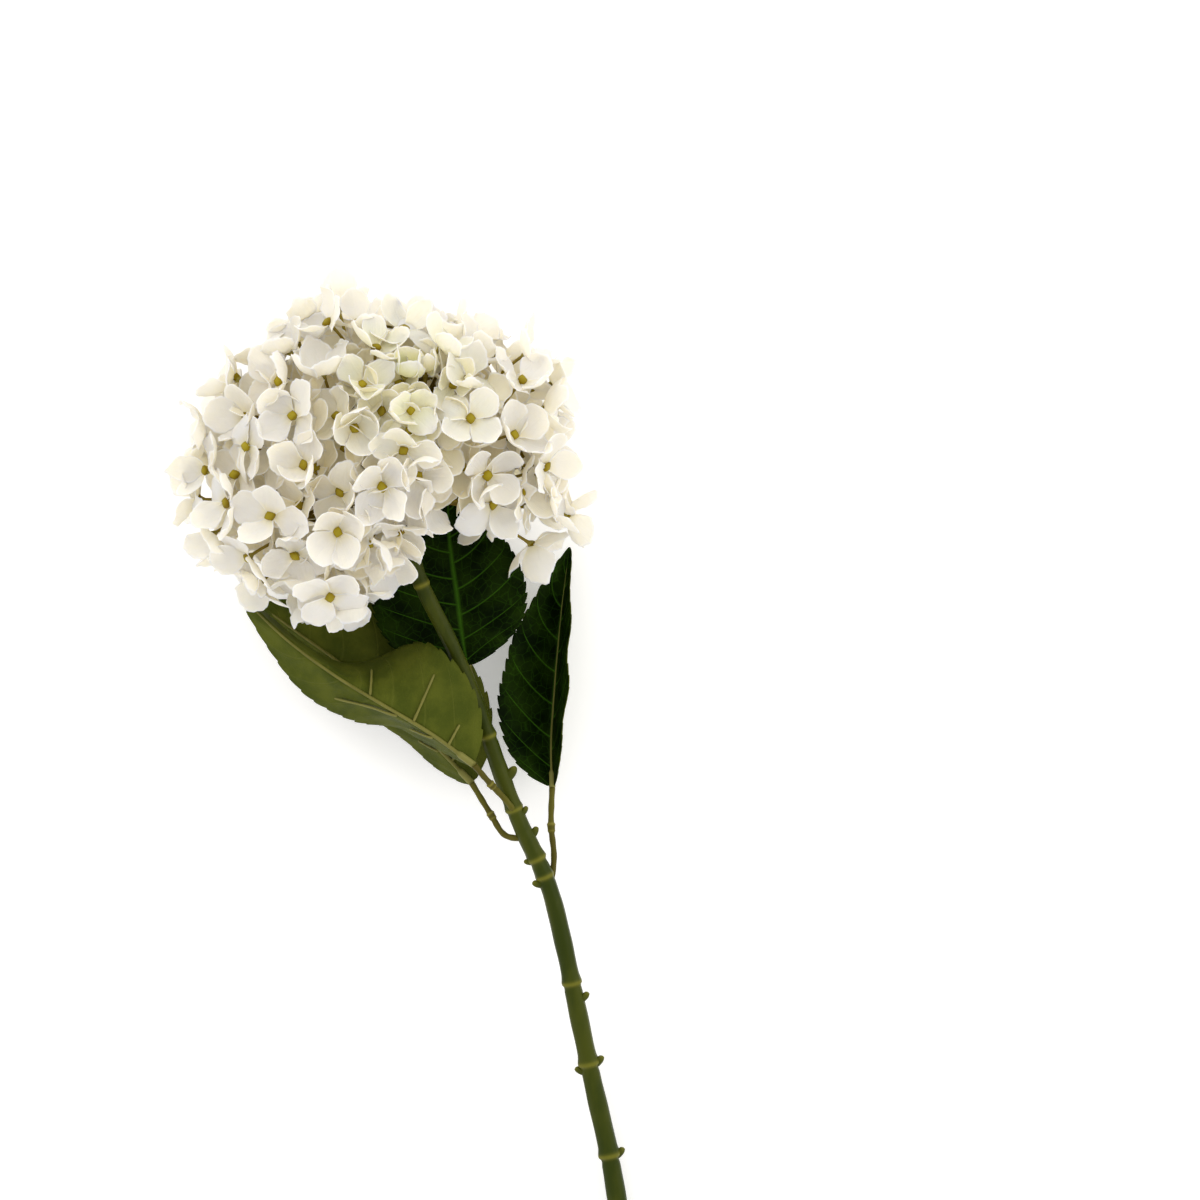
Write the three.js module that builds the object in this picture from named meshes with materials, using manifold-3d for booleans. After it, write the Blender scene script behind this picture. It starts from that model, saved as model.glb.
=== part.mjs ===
// A cut hydrangea that lies on a table: a mophead of four-petalled florets on branching stalks,
// one jointed stem and four serrated leaves. Millimetres, +Z up. The stem runs along -Y from the
// head, which faces up, and the table is the plane Z = 0.
import * as THREE from "three";
import { mergeVertices } from "three/addons/utils/BufferGeometryUtils.js";
import Module from "manifold-3d";

// ---- Driving dimensions ----
const GAP = 0.3; // clearance between touching pieces
const TABLE = 0; // height of the surface that the flower lies on

const HEAD_SPREAD = 1.04; // how far the head is opened, as a share of the rim below
const HEAD_CENTRE = [0, 0, 64];
const HEAD_RISE = 58; // from the head's centre up to its topmost florets
const HEAD_DROP = 70; // the same downwards, before the table flattens it
// The head's rim, seen from above: [bearing in degrees, reach in mm from the head's centre].
const HEAD_RIM = [
  [0, 86], [30, 90], [60, 72], [90, 68], [112, 78], [135, 78], [160, 86], [188, 96],
  [208, 97], [225, 92], [248, 86], [265, 66], [285, 50], [310, 46], [328, 52], [342, 92],
];

const FLORET_COUNT = 110; // places shared out over the whole head, before the open underside
const CYME_COUNT = 28; // clusters that the florets are gathered in, before the open underside
const FLORET_RADIUS = 17;
const FLORET_NOTCH = 0.72; // reach between two petals, as a share of the floret's radius
const FLORET_CUP = 2.2; // depth of the floret's hollow face
const CALYX_LENGTH = 2.6; // behind the middle of the hollow face
const FLORET_LEAN = 0.34; // how far a floret may turn from facing straight outwards
const FLORET_RECESS = 0.13; // share of the reach that the deepest florets sit back
const FLORET_REST = 2.5; // least height of a floret's middle over the table
const FLORET_LEAST_REACH = 36; // from the hub: no floret opens closer to it
// Florets that hang clear of the others, low at the right.
const STRAY_FLORETS = [[93, -30, 47], [74, -45, 42]];
const FLORET_SIDES = 12; // three to a petal
const RAY_RADIUS = 1.5;
const RAY_TAPER = 0.8; // of the ray's radius, left at its tip
const PEDICEL_RADIUS = 0.85;
const PEDICEL_SIDES = 4;
const RAY_SHARE = 0.56; // share of the way to the florets where a ray ends in its last pedicel
const FIRST_FORK_SHARE = 0.45; // of the ray, before the first pedicel leaves it

const HUB_CENTRE = [9, -24, 58];
const HUB_RADIUS = 5.5;
const HUB_RISE = 4.1; // from the hub's centre up to its crown
// The hub's profile: [share of the way from its crown to the stem, share of its radius].
const HUB_PROFILE = [[0, 0.35], [0.3, 0.8], [0.6, 0.85], [1, 0.7]];
const HUB_SIDES = 10;
const OPEN_SIDE = [0.32, -0.86, -0.4]; // where the head is open round its stem
const OPEN_ANGLE = 50; // degrees round that direction with no florets
const LEAF_CLEARANCE = 17; // from a floret's middle to any leaf blade
const STALK_CLEARANCE = 8; // from a floret's stalk to any leaf blade

const STEM_ROUTE = [
  [10.5, -32, 57.5], [16.5, -61.5, 53], [32.5, -95, 46.5], [46, -127.5, 41], [56.5, -158, 36],
  [67, -186, 31.5], [81, -217, 27], [89, -248, 22.5], [96, -282, 18.5], [104, -320, 14.5],
  [112.5, -358, 11.5], [119, -398, 8.8], [125, -437, 6.7], [130, -475, 5.5],
];
const STEM_TOP_RADIUS = 3.7;
const STEM_CUT_RADIUS = 5.3;
const STEM_SIDES = 9;
// Joint rings: [share of the stem's length, how far the ring stands out].
const STEM_RINGS = [
  [0.085, 0.5], [0.265, 0.7], [0.365, 0.6], [0.43, 0.8], [0.452, 0.5], [0.585, 0.7],
  [0.672, 1.0], [0.768, 1.0], [0.868, 0.9], [0.945, 0.9],
];
const RING_HALF_LENGTH = 0.0065; // of a ring, as a share of the stem's length
// Leaf scars and buds: [share of the stem's length, side it grows on in degrees, size in mm].
const STEM_BUDS = [
  [0.318, 5, 3.0], [0.372, 8, 2.0], [0.402, -10, 2.4], [0.43, 178, 2.0], [0.458, 172, 2.4],
  [0.603, 12, 2.4], [0.678, 185, 2.4], [0.672, 0, 2.6], [0.768, -5, 2.6], [0.87, 170, 2.2],
];

const BLADE_THICKNESS = 0.8;
const BLADE_STEPS = 20; // along a blade
const BLADE_STRIPS = 4; // across a blade
const TOOTH_DEPTH = 1.6;
const RIB_RADIUS = 1.0;
const RIB_TIP_RADIUS = 0.45;
const RIB_REACH = 0.9; // share of the blade that the midrib runs along
const RIB_ROWS = 9; // along the midrib, past the collar
const SIDE_RIB_RADIUS = 0.55;
const SIDE_RIB_STARTS = [0.2, 0.4]; // shares of the blade where side ribs leave the midrib
const SIDE_RIB_SLANT = 0.13; // share of the blade that a side rib gains on its way out
const SIDE_RIB_REACH = 0.6; // share of the half width that a side rib covers
const SIDE_RIB_RISE = 0.6; // how much closer to the cloth a side rib's tip lies than its foot
const SOCKET_RADIUS = 1.75; // of the midrib's foot, over the stalk's end
const COLLAR_RADIUS = 2; // round the stalk
const COLLAR_ENDS = [0.6, 0.66]; // shares of the stalk
const COLLAR_SLOPE = 0.02; // share of the stalk that each end of the collar takes to rise
const PETIOLE_RADIUS = 1.55;
const PETIOLE_FOOT_RADIUS = 1.95; // where it leaves the stem
const PETIOLE_SIDES = 8;

const FOLD_CHANGE = [0.25, 0.7]; // shares of the blade between which its folds change

// Leaves: the midrib's route, the half widths to its left and right, how far each half folds
// towards the upper face in degrees at its foot and at its tip, whether the upper face looks
// up (1) or down (-1), and the stalk's route from inside the stem to just short of the midrib's foot.
const LEAVES = [
  {
    name: "leaf_a",
    midrib: [
      [44, -155.5, 50], [22, -139, 59], [-2, -124.5, 61.5], [-26, -110, 58], [-51, -92, 49], [-76, -69, 38],
    ],
    leftWidth: 40, rightWidth: 31, leftFold: [4, 84], rightFold: [77, 45], upperFace: -1,
    stalk: [[66, -182.5, 32.5], [60, -174, 40], [52, -165, 46.5]],
  },
  {
    name: "leaf_b",
    midrib: [
      [42.5, -166, 25.5], [24, -147, 25], [2, -126, 23], [-22, -107, 20.5], [-46, -90, 18], [-68, -74, 16],
    ],
    leftWidth: 44, rightWidth: 22, leftFold: [7, 7], rightFold: [62, 50], upperFace: -1,
    stalk: [[70, -194, 30], [59, -192, 28.5], [51.5, -181, 27]],
  },
  {
    name: "leaf_c",
    midrib: [
      [40.5, -106, 33], [37.5, -90, 29], [35, -71, 26], [32, -51, 24], [30, -31, 22.5], [31, -9, 21],
    ],
    leftWidth: 44, rightWidth: 36, leftFold: [2, 2], rightFold: [7, 7], upperFace: 1,
    stalk: [[50.5, -142, 38.5], [48, -130, 34.8], [44, -118, 33.5]],
  },
  {
    name: "leaf_d",
    midrib: [
      [83, -168, 17], [82.5, -146, 12.5], [84, -121, 9.5], [86, -96, 8.5], [88.5, -71, 9.5], [92, -45, 13],
    ],
    leftWidth: 33, rightWidth: 32, leftFold: [30, 36], rightFold: [80, 80], upperFace: 1,
    stalk: [[82, -220, 26], [84, -204, 22.5], [82.5, -187, 20]],
  },
];

// ---- Finishes ----
const FINISHES = {
  petal: new THREE.MeshStandardMaterial({ color: 0xf1ecdf, roughness: 0.85, metalness: 0 }),
  hub: new THREE.MeshStandardMaterial({ color: 0x8a8330, roughness: 0.55, metalness: 0 }),
  stem: new THREE.MeshStandardMaterial({ color: 0x55652a, roughness: 0.5, metalness: 0 }),
  petiole: new THREE.MeshStandardMaterial({ color: 0x6d6a24, roughness: 0.5, metalness: 0 }),
  blade: new THREE.MeshStandardMaterial({ color: 0x24421a, roughness: 0.7, metalness: 0 }),
  rib: new THREE.MeshStandardMaterial({ color: 0x8f8a42, roughness: 0.5, metalness: 0 }),
};

// ---- Solids ----
const wasm = await Module();
wasm.setup();

/** A closed geometry as a solid that can be joined and cut. */
function solidOf(geometry) {
  const bare = geometry.clone();
  bare.deleteAttribute("normal");
  bare.deleteAttribute("uv");
  const merged = mergeVertices(bare, 1e-4);
  const corners = [];
  for (let i = 0; i < merged.index.count; i += 3) {
    const face = [0, 1, 2].map((k) => merged.index.getX(i + k));
    if (new Set(face).size === 3) corners.push(...face);
  }
  return new wasm.Manifold(new wasm.Mesh({
    numProp: 3,
    vertProperties: merged.attributes.position.array,
    triVerts: new Uint32Array(corners),
  }));
}

/** A solid as a geometry that a mesh can hold. */
function geometryOf(solid) {
  const made = solid.getMesh();
  const geometry = new THREE.BufferGeometry();
  geometry.setAttribute("position", new THREE.BufferAttribute(made.vertProperties, 3));
  geometry.setIndex(new THREE.BufferAttribute(made.triVerts, 1));
  geometry.computeVertexNormals();
  return geometry;
}

const join = (solids) => wasm.Manifold.union(solids);
const vector = (point) => new THREE.Vector3(...point);
const radians = THREE.MathUtils.degToRad;

/** A number from 0 to 1 that stays the same for the same piece and use. */
function scatter(piece, use) {
  const value = Math.sin(piece * 12.9898 + use * 78.233) * 43758.5453;
  return value - Math.floor(value);
}

const smoothCurve = (points) => new THREE.CatmullRomCurve3(points.map(vector), false, "catmullrom", 0.5);

/** The world axis that lies most nearly square to a direction. */
function squareAxis(direction) {
  const sizes = direction.toArray().map(Math.abs);
  const least = sizes.indexOf(Math.min(...sizes));
  return new THREE.Vector3().setComponent(least, 1);
}

/** A turned profile, [share of the length, radius] from end to end, bent along a curve. */
function bentTurning(curve, profile, sides) {
  const outline = profile.map(([share, radius]) => new THREE.Vector2(radius, share));
  outline.unshift(new THREE.Vector2(0, profile[0][0]));
  outline.push(new THREE.Vector2(0, profile.at(-1)[0]));
  const geometry = new THREE.LatheGeometry(outline, sides);
  const position = geometry.attributes.position;
  const reference = squareAxis(curve.getPoint(1).sub(curve.getPoint(0)));
  for (let i = 0; i < position.count; i++) {
    const along = curve.getTangent(position.getY(i));
    const across = reference.clone().cross(along).normalize();
    const third = across.clone().cross(along);
    const place = curve.getPoint(position.getY(i));
    place.addScaledVector(across, position.getX(i)).addScaledVector(third, position.getZ(i));
    position.setXYZ(i, ...place);
  }
  return geometry;
}

/** A straight stalk that tapers from one end to the other. */
function straightStalk(from, to, fromRadius, toRadius, sides) {
  return bentTurning(new THREE.LineCurve3(from, to), [[0, fromRadius], [1, toRadius]], sides);
}

// ---- Stem ----
const stemCurve = smoothCurve(STEM_ROUTE);
const stemRadius = (share) => THREE.MathUtils.lerp(STEM_TOP_RADIUS, STEM_CUT_RADIUS, share);

/** The stem's profile with its joint rings, swollen by an allowance all over. */
function stemProfile(allowance) {
  const plain = STEM_ROUTE.map((_, i) => i / (STEM_ROUTE.length - 1));
  const isPlain = (share) => STEM_RINGS.every(([ring]) => Math.abs(ring - share) > 3 * RING_HALF_LENGTH);
  const points = plain.filter(isPlain).map((share) => [share, stemRadius(share)]);
  for (const [ring, height] of STEM_RINGS) {
    points.push([ring - RING_HALF_LENGTH, stemRadius(ring)]);
    points.push([ring, stemRadius(ring) + height]);
    points.push([ring + 2 * RING_HALF_LENGTH, stemRadius(ring) - height / 4]);
  }
  points.sort((one, other) => one[0] - other[0]);
  return points.map(([share, radius]) => [share, radius + allowance]);
}

/** A blunt bud or leaf scar that stands out of the stem and leans towards the head. */
function stemBud([share, side, size]) {
  const along = stemCurve.getTangent(share);
  const level = new THREE.Vector3(0, 0, 1).cross(along).normalize();
  const outward = level.applyAxisAngle(along, radians(side));
  const from = stemCurve.getPoint(share);
  const to = from.clone().addScaledVector(outward, stemRadius(share) + size);
  to.addScaledVector(along, -size);
  return straightStalk(from, to, size * 0.8, size * 0.45, 6);
}

function mainStem() {
  const shaft = bentTurning(stemCurve, stemProfile(0), STEM_SIDES);
  return join([shaft, ...STEM_BUDS.map(stemBud)].map(solidOf));
}

/** The space round the stem that other pieces are cut back to. */
const stemRoom = solidOf(bentTurning(stemCurve, stemProfile(GAP), STEM_SIDES));

// ---- Head ----
const hub = vector(HUB_CENTRE);
const headCentre = vector(HEAD_CENTRE);

/** The swollen crown that the rays spring from, seated on the stem's top, swollen by an allowance. */
function headHub(allowance) {
  const down = stemCurve.getTangent(0);
  const crown = hub.clone().addScaledVector(down, -HUB_RISE - allowance);
  const seat = stemCurve.getPoint(0).addScaledVector(down, allowance - GAP);
  const grown = HUB_PROFILE.map(([share, radius]) => [share, radius * HUB_RADIUS + allowance]);
  return solidOf(bentTurning(new THREE.LineCurve3(crown, seat), grown, HUB_SIDES));
}

/** The space round the hub that the rays are cut back to. */
const hubRoom = headHub(GAP);

/** How far the rim reaches from the head's centre at a bearing in radians. */
function rimReach(bearing) {
  const degrees = ((THREE.MathUtils.radToDeg(bearing) % 360) + 360) % 360;
  let next = HEAD_RIM.findIndex(([at]) => at > degrees);
  if (next < 0) next = HEAD_RIM.length;
  const [fromAt, fromReach] = HEAD_RIM[next - 1];
  const [toAt, toReach] = next < HEAD_RIM.length ? HEAD_RIM[next] : [360, HEAD_RIM[0][1]];
  const share = (degrees - fromAt) / (toAt - fromAt);
  return HEAD_SPREAD * THREE.MathUtils.lerp(fromReach, toReach, (1 - Math.cos(Math.PI * share)) / 2);
}

/** Even directions over a whole ball, on a golden spiral, as bearing and height. */
function spiral(index, count) {
  const height = 1 - (2 * (index + 0.5)) / count;
  const bearing = index * Math.PI * (3 - Math.sqrt(5));
  return { bearing, height, level: Math.sqrt(1 - height * height) };
}

/** The place on the head for a spiral direction, set back by a share of the reach. */
function headPoint({ bearing, height, level }, recess) {
  const reach = rimReach(bearing) * level * (1 - recess);
  const lift = (height > 0 ? HEAD_RISE : HEAD_DROP) * height * (1 - recess);
  const place = new THREE.Vector3(Math.cos(bearing) * reach, Math.sin(bearing) * reach, lift);
  place.add(headCentre);
  place.z = Math.max(place.z, TABLE + FLORET_REST);
  return place;
}

/** The direction that a floret at a place on the head faces. */
function outwardAt({ bearing, height, level }, index) {
  const depth = height > 0 ? HEAD_RISE : HEAD_DROP;
  const flat = level / rimReach(bearing);
  const facing = new THREE.Vector3(Math.cos(bearing) * flat, Math.sin(bearing) * flat, height / depth);
  facing.normalize();
  for (const axis of [0, 1, 2]) {
    const lean = FLORET_LEAN * (2 * scatter(index, axis + 1) - 1);
    facing.setComponent(axis, facing.getComponent(axis) + lean);
  }
  return facing.normalize();
}

// ---- Leaf surfaces ----
for (const leaf of LEAVES) leaf.curve = smoothCurve(leaf.midrib);

/** Half the blade's width at a share of its length, for a half of a given greatest width. */
function halfWidth(share, greatest) {
  const shape = (at) => at ** 0.62 * (1 - at) ** 0.95;
  return (greatest * shape(share)) / shape(0.62 / 1.57);
}

/** Axes at a share of a leaf's length: along the midrib, to the right, and out of the upper face. */
function leafAxes(leaf, share) {
  const along = leaf.curve.getTangent(share);
  const right = along.clone().cross(new THREE.Vector3(0, 0, leaf.upperFace)).normalize();
  const upper = right.clone().cross(along);
  return { along, right, upper };
}

/** How far a half of the blade folds at a share of its length, in radians. */
function foldAt(share, [atFoot, atTip]) {
  const [start, end] = FOLD_CHANGE;
  return radians(THREE.MathUtils.lerp(atFoot, atTip, THREE.MathUtils.smoothstep(share, start, end)));
}

/** A point of the blade, across from -1 (left edge) to 1 (right edge), lifted off the middle sheet. */
function bladePoint(leaf, share, across, lift) {
  const { right, upper } = leafAxes(leaf, share);
  const isLeft = across < 0;
  const greatest = isLeft ? leaf.leftWidth : leaf.rightWidth;
  const out = Math.abs(across) * halfWidth(share, greatest);
  const side = Math.sign(across);
  const turn = foldAt(share, isLeft ? leaf.leftFold : leaf.rightFold);
  const place = leaf.curve.getPoint(share);
  place.addScaledVector(right, side * (out * Math.cos(turn) - lift * Math.sin(turn) * Math.abs(side)));
  place.addScaledVector(upper, out * Math.sin(turn) + lift * Math.cos(side === 0 ? 0 : turn));
  return place;
}

/** Whether a point keeps a clearance to every blade. */
function clearOfLeaves(place, clearance) {
  return LEAVES.every((leaf) => {
    for (let share = 0.04; share < 1; share += 0.04) {
      for (let across = -1; across <= 1; across += 0.25) {
        if (bladePoint(leaf, share, across, 0).distanceTo(place) < clearance) return false;
      }
    }
    return true;
  });
}

// ---- Florets and cymes ----
/**
 * A pedicel that widens at its calyx into a four-petalled floret with a hollow face. It is turned
 * ring by ring, each ring with its own place, facing, radius and number of sides.
 */
function floretSolid(fork, { place, facing, calyx, spin }) {
  const along = calyx.clone().sub(fork).normalize();
  const hollow = place.clone().addScaledVector(facing, -FLORET_CUP);
  const rings = [
    { place: fork, facing: along, radius: 0 },
    { place: fork, facing: along, radius: PEDICEL_RADIUS, sides: PEDICEL_SIDES },
    { place: calyx, facing, radius: PEDICEL_RADIUS, sides: PEDICEL_SIDES },
    { place, facing, radius: FLORET_RADIUS, notch: FLORET_NOTCH },
    { place: hollow, facing, radius: 0 },
  ];
  const outline = rings.map(({ radius }, row) => new THREE.Vector2(radius, row));
  const geometry = new THREE.LatheGeometry(outline, FLORET_SIDES);
  const position = geometry.attributes.position;
  const reference = squareAxis(facing).cross(facing).applyAxisAngle(facing, spin);
  for (let i = 0; i < position.count; i++) {
    const ring = rings[Math.round(position.getY(i))];
    let angle = Math.atan2(position.getX(i), position.getZ(i));
    let radius = ring.radius;
    if (ring.sides) angle = (Math.round((angle * ring.sides) / (2 * Math.PI)) * 2 * Math.PI) / ring.sides;
    if (ring.notch && Math.abs(Math.sin(2 * angle)) < 0.1) radius *= ring.notch;
    const across = reference.clone().cross(ring.facing).normalize();
    const third = ring.facing.clone().cross(across);
    const corner = ring.place.clone();
    corner.addScaledVector(across, radius * Math.sin(angle));
    corner.addScaledVector(third, -radius * Math.cos(angle));
    position.setXYZ(i, ...corner);
  }
  return solidOf(geometry);
}

const openSide = vector(OPEN_SIDE).normalize();
const directionFromHub = (place) => place.clone().sub(hub).normalize();
const isOpenSide = (place) => directionFromHub(place).angleTo(openSide) < radians(OPEN_ANGLE);

const isTooNear = (place) => place.distanceTo(hub) < FLORET_LEAST_REACH;

/** A floret's place, facing, calyx and spin. */
function floretAt(place, facing, index) {
  const calyx = place.clone().addScaledVector(facing, -FLORET_CUP - CALYX_LENGTH);
  return { place, facing, calyx, spin: scatter(index, 4) * Math.PI };
}

/** All florets: those spread over the head, less those in the open side or on a leaf, and strays. */
function allFlorets() {
  const florets = [];
  for (let i = 0; i < FLORET_COUNT; i++) {
    const spot = spiral(i, FLORET_COUNT);
    const place = headPoint(spot, FLORET_RECESS * scatter(i, 0));
    if (isTooNear(place) || isOpenSide(place) || !clearOfLeaves(place, LEAF_CLEARANCE)) continue;
    const stalk = [0.3, 0.45, 0.6, 0.75, 0.9].map((share) => hub.clone().lerp(place, share));
    if (!stalk.every((point) => clearOfLeaves(point, STALK_CLEARANCE))) continue;
    florets.push(floretAt(place, outwardAt(spot, i), i));
  }
  STRAY_FLORETS.map(vector).forEach((place, i) => {
    florets.push(floretAt(place, place.clone().sub(headCentre).normalize(), FLORET_COUNT + i));
  });
  return florets;
}

/** Cymes: each takes the florets that lie nearest its own direction from the hub. */
function allCymes() {
  const cymes = [];
  for (let i = 0; i < CYME_COUNT; i++) {
    const middle = headPoint(spiral(i, CYME_COUNT), 0);
    if (!isOpenSide(middle)) cymes.push({ direction: directionFromHub(middle), florets: [] });
  }
  for (const floret of allFlorets()) {
    const direction = directionFromHub(floret.calyx);
    const angles = cymes.map((cyme) => cyme.direction.angleTo(direction));
    cymes[angles.indexOf(Math.min(...angles))].florets.push(floret);
  }
  return cymes.filter((cyme) => cyme.florets.length > 0);
}

/** One cyme: a ray from the hub that forks into pedicels, each with its floret. */
function cymeSolid(cyme, neighbours) {
  const reaches = cyme.florets.map((floret) => floret.calyx.distanceTo(hub));
  const forkReach = RAY_SHARE * Math.min(...reaches);
  const foot = hub.clone().addScaledVector(cyme.direction, HUB_RADIUS / 2);
  const fork = hub.clone().addScaledVector(cyme.direction, forkReach);
  const pieces = [solidOf(straightStalk(foot, fork, RAY_RADIUS, RAY_RADIUS * RAY_TAPER, PEDICEL_SIDES))];
  cyme.florets.forEach((floret, i) => {
    const share = THREE.MathUtils.lerp(FIRST_FORK_SHARE, 1, (i + 1) / cyme.florets.length);
    pieces.push(floretSolid(foot.clone().lerp(fork, share), floret));
  });
  let solid = join(pieces);
  // Florets that press against the next cyme's are flattened where they meet.
  for (const other of neighbours) {
    const normal = cyme.direction.clone().sub(other.direction).normalize();
    solid = solid.trimByPlane(normal.toArray(), normal.dot(hub) + GAP / 2);
  }
  return solid.trimByPlane([0, 0, 1], TABLE).subtract(hubRoom);
}

// ---- Leaves ----
/** Splits the lower face of a box along the same diagonals as its upper face, so both bend alike. */
function matchDiagonals(box) {
  const lower = box.groups[3];
  const corners = box.index.array;
  for (let at = lower.start; at < lower.start + lower.count; at += 6) {
    const [a, b, d, , c] = corners.slice(at, at + 6);
    corners.set([a, b, c, a, c, d], at);
  }
}

/** The serrated blade: a thin sheet on a grid of steps along it and strips across it. */
function leafBlade(leaf, thickness) {
  const box = new THREE.BoxGeometry(1, 1, 1, BLADE_STRIPS, 1, BLADE_STEPS);
  matchDiagonals(box);
  const position = box.attributes.position;
  for (let i = 0; i < position.count; i++) {
    const step = Math.round((0.5 - position.getZ(i)) * BLADE_STEPS);
    const share = THREE.MathUtils.lerp(0.012, 0.985, step / BLADE_STEPS);
    const across = position.getX(i) * 2;
    const isEdge = Math.abs(across) > 0.99;
    const greatest = across < 0 ? leaf.leftWidth : leaf.rightWidth;
    const tooth = isEdge && step % 2 ? TOOTH_DEPTH / greatest : 0;
    const lift = position.getY(i) * thickness;
    position.setXYZ(i, ...bladePoint(leaf, share, across * (1 - tooth), lift));
  }
  return solidOf(box);
}

/** The raised midrib and side ribs under a blade with their socket, cut clear of the blade. */
function leafRib(leaf) {
  const under = (share, across, depth) =>
    bladePoint(leaf, share, across, -(BLADE_THICKNESS / 2 + GAP + depth));
  const stops = [0, 1, 2, 3, 4, 5, 6].map((stop) => (RIB_REACH * stop) / 6);
  const places = stops.map((share) => under(share, 0, SOCKET_RADIUS));
  const midrib = smoothCurve(places.map((place) => place.toArray()));
  const profile = [[0, SOCKET_RADIUS * 0.95], [0.05, SOCKET_RADIUS]];
  for (let row = 0; row <= RIB_ROWS; row++) {
    const share = row / RIB_ROWS;
    profile.push([0.1 + 0.9 * share, THREE.MathUtils.lerp(RIB_RADIUS, RIB_TIP_RADIUS, share)]);
  }
  const pieces = [solidOf(bentTurning(midrib, profile, 6))];
  for (const start of SIDE_RIB_STARTS) {
    for (const side of [-1, 1]) {
      const route = [0, 0.5, 1].map((along) => {
        const depth = SOCKET_RADIUS - SIDE_RIB_RISE * along;
        return under(start + SIDE_RIB_SLANT * along, side * SIDE_RIB_REACH * along, depth);
      });
      const curve = smoothCurve(route.map((place) => place.toArray()));
      const taper = [[0, SIDE_RIB_RADIUS], [0.5, SIDE_RIB_RADIUS], [1, SIDE_RIB_RADIUS * 0.6]];
      pieces.push(solidOf(bentTurning(curve, taper, 4)));
    }
  }
  return join(pieces).subtract(leafBlade(leaf, BLADE_THICKNESS + GAP));
}

/** The stalk from the stem to the blade, cut to fit round the stem. */
function leafPetiole(leaf) {
  const end = leaf.curve.getPoint(0);
  const { along, upper } = leafAxes(leaf, 0);
  end.addScaledVector(upper, -(BLADE_THICKNESS / 2 + GAP + SOCKET_RADIUS));
  end.addScaledVector(along, -2 * GAP);
  const route = [...leaf.stalk, end.toArray()];
  const [collarStart, collarEnd] = COLLAR_ENDS;
  const profile = [
    [0, PETIOLE_FOOT_RADIUS], [collarStart / 2, PETIOLE_RADIUS],
    [collarStart - COLLAR_SLOPE, PETIOLE_RADIUS], [collarStart, COLLAR_RADIUS],
    [collarEnd, COLLAR_RADIUS], [collarEnd + COLLAR_SLOPE, PETIOLE_RADIUS], [1, PETIOLE_RADIUS],
  ];
  return solidOf(bentTurning(smoothCurve(route), profile, PETIOLE_SIDES)).subtract(stemRoom);
}

// ---- Assembly ----
const flower = new THREE.Group();

function addPiece(name, solid, finish) {
  const mesh = new THREE.Mesh(geometryOf(solid), finish);
  mesh.name = name;
  flower.add(mesh);
}

addPiece("main_stem", mainStem(), FINISHES.stem);
addPiece("head_hub", headHub(0), FINISHES.hub);

const cymes = allCymes();
cymes.forEach((cyme, i) => {
  const neighbours = cymes.filter((other) => other !== cyme);
  addPiece(`cyme_${String(i + 1).padStart(2, "0")}`, cymeSolid(cyme, neighbours), FINISHES.petal);
});

for (const leaf of LEAVES) {
  addPiece(`${leaf.name}_petiole`, leafPetiole(leaf), FINISHES.petiole);
  addPiece(`${leaf.name}_blade`, leafBlade(leaf, BLADE_THICKNESS), FINISHES.blade);
  addPiece(`${leaf.name}_rib`, leafRib(leaf), FINISHES.rib);
}

// The part's origin is under the middle of the whole flower, on the table.
const middle = new THREE.Box3().setFromObject(flower).getCenter(new THREE.Vector3());
flower.position.set(-middle.x, -middle.y, 0);

export default flower;
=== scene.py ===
"""A cut hydrangea lying on a pale table: cloth petals and leaves on moulded plastic stalks.

The flower is drawn in its own plan, in millimetres, with +Z up from the table and the stem running
along -Y from the head. Frame.to_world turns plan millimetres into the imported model's metres.
"""

import logging
import math
from dataclasses import dataclass, field
from enum import Enum

import bpy
import numpy as np
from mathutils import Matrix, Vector


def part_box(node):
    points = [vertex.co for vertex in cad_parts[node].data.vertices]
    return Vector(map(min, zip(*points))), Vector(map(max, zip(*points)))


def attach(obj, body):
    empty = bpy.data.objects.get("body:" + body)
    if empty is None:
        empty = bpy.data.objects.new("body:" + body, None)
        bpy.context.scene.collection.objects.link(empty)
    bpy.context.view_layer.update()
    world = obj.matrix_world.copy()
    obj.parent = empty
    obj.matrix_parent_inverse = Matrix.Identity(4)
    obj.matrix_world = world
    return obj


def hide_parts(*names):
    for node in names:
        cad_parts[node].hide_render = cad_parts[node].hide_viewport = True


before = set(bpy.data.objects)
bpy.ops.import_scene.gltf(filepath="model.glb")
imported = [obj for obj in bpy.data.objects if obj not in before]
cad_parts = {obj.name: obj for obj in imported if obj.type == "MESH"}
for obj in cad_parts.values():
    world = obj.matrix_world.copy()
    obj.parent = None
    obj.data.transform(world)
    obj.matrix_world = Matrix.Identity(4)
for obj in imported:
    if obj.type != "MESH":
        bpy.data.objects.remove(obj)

LOG = logging.getLogger("hydrangea")
BODY = "root"
MM = 0.001
GOLDEN_TURN = math.pi * (3 - math.sqrt(5))

Array = np.ndarray
Point = tuple[float, float, float]
Colour = tuple[float, float, float]


# ---------------------------------------------------------------- small helpers
def scatter(piece: float, use: float) -> float:
    """A number from 0 to 1 that stays the same for the same piece and use."""
    value = math.sin(piece * 12.9898 + use * 78.233) * 43758.5453
    return value - math.floor(value)


def spread(piece: float, use: float, reach: float) -> float:
    """A number from -reach to reach that stays the same for the same piece and use."""
    return reach * (2 * scatter(piece, use) - 1)


def unit(vector: Array) -> Array:
    """Vectors scaled to length one along their last axis."""
    length = np.linalg.norm(vector, axis=-1, keepdims=True)
    return vector / np.maximum(length, 1e-12)


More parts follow.
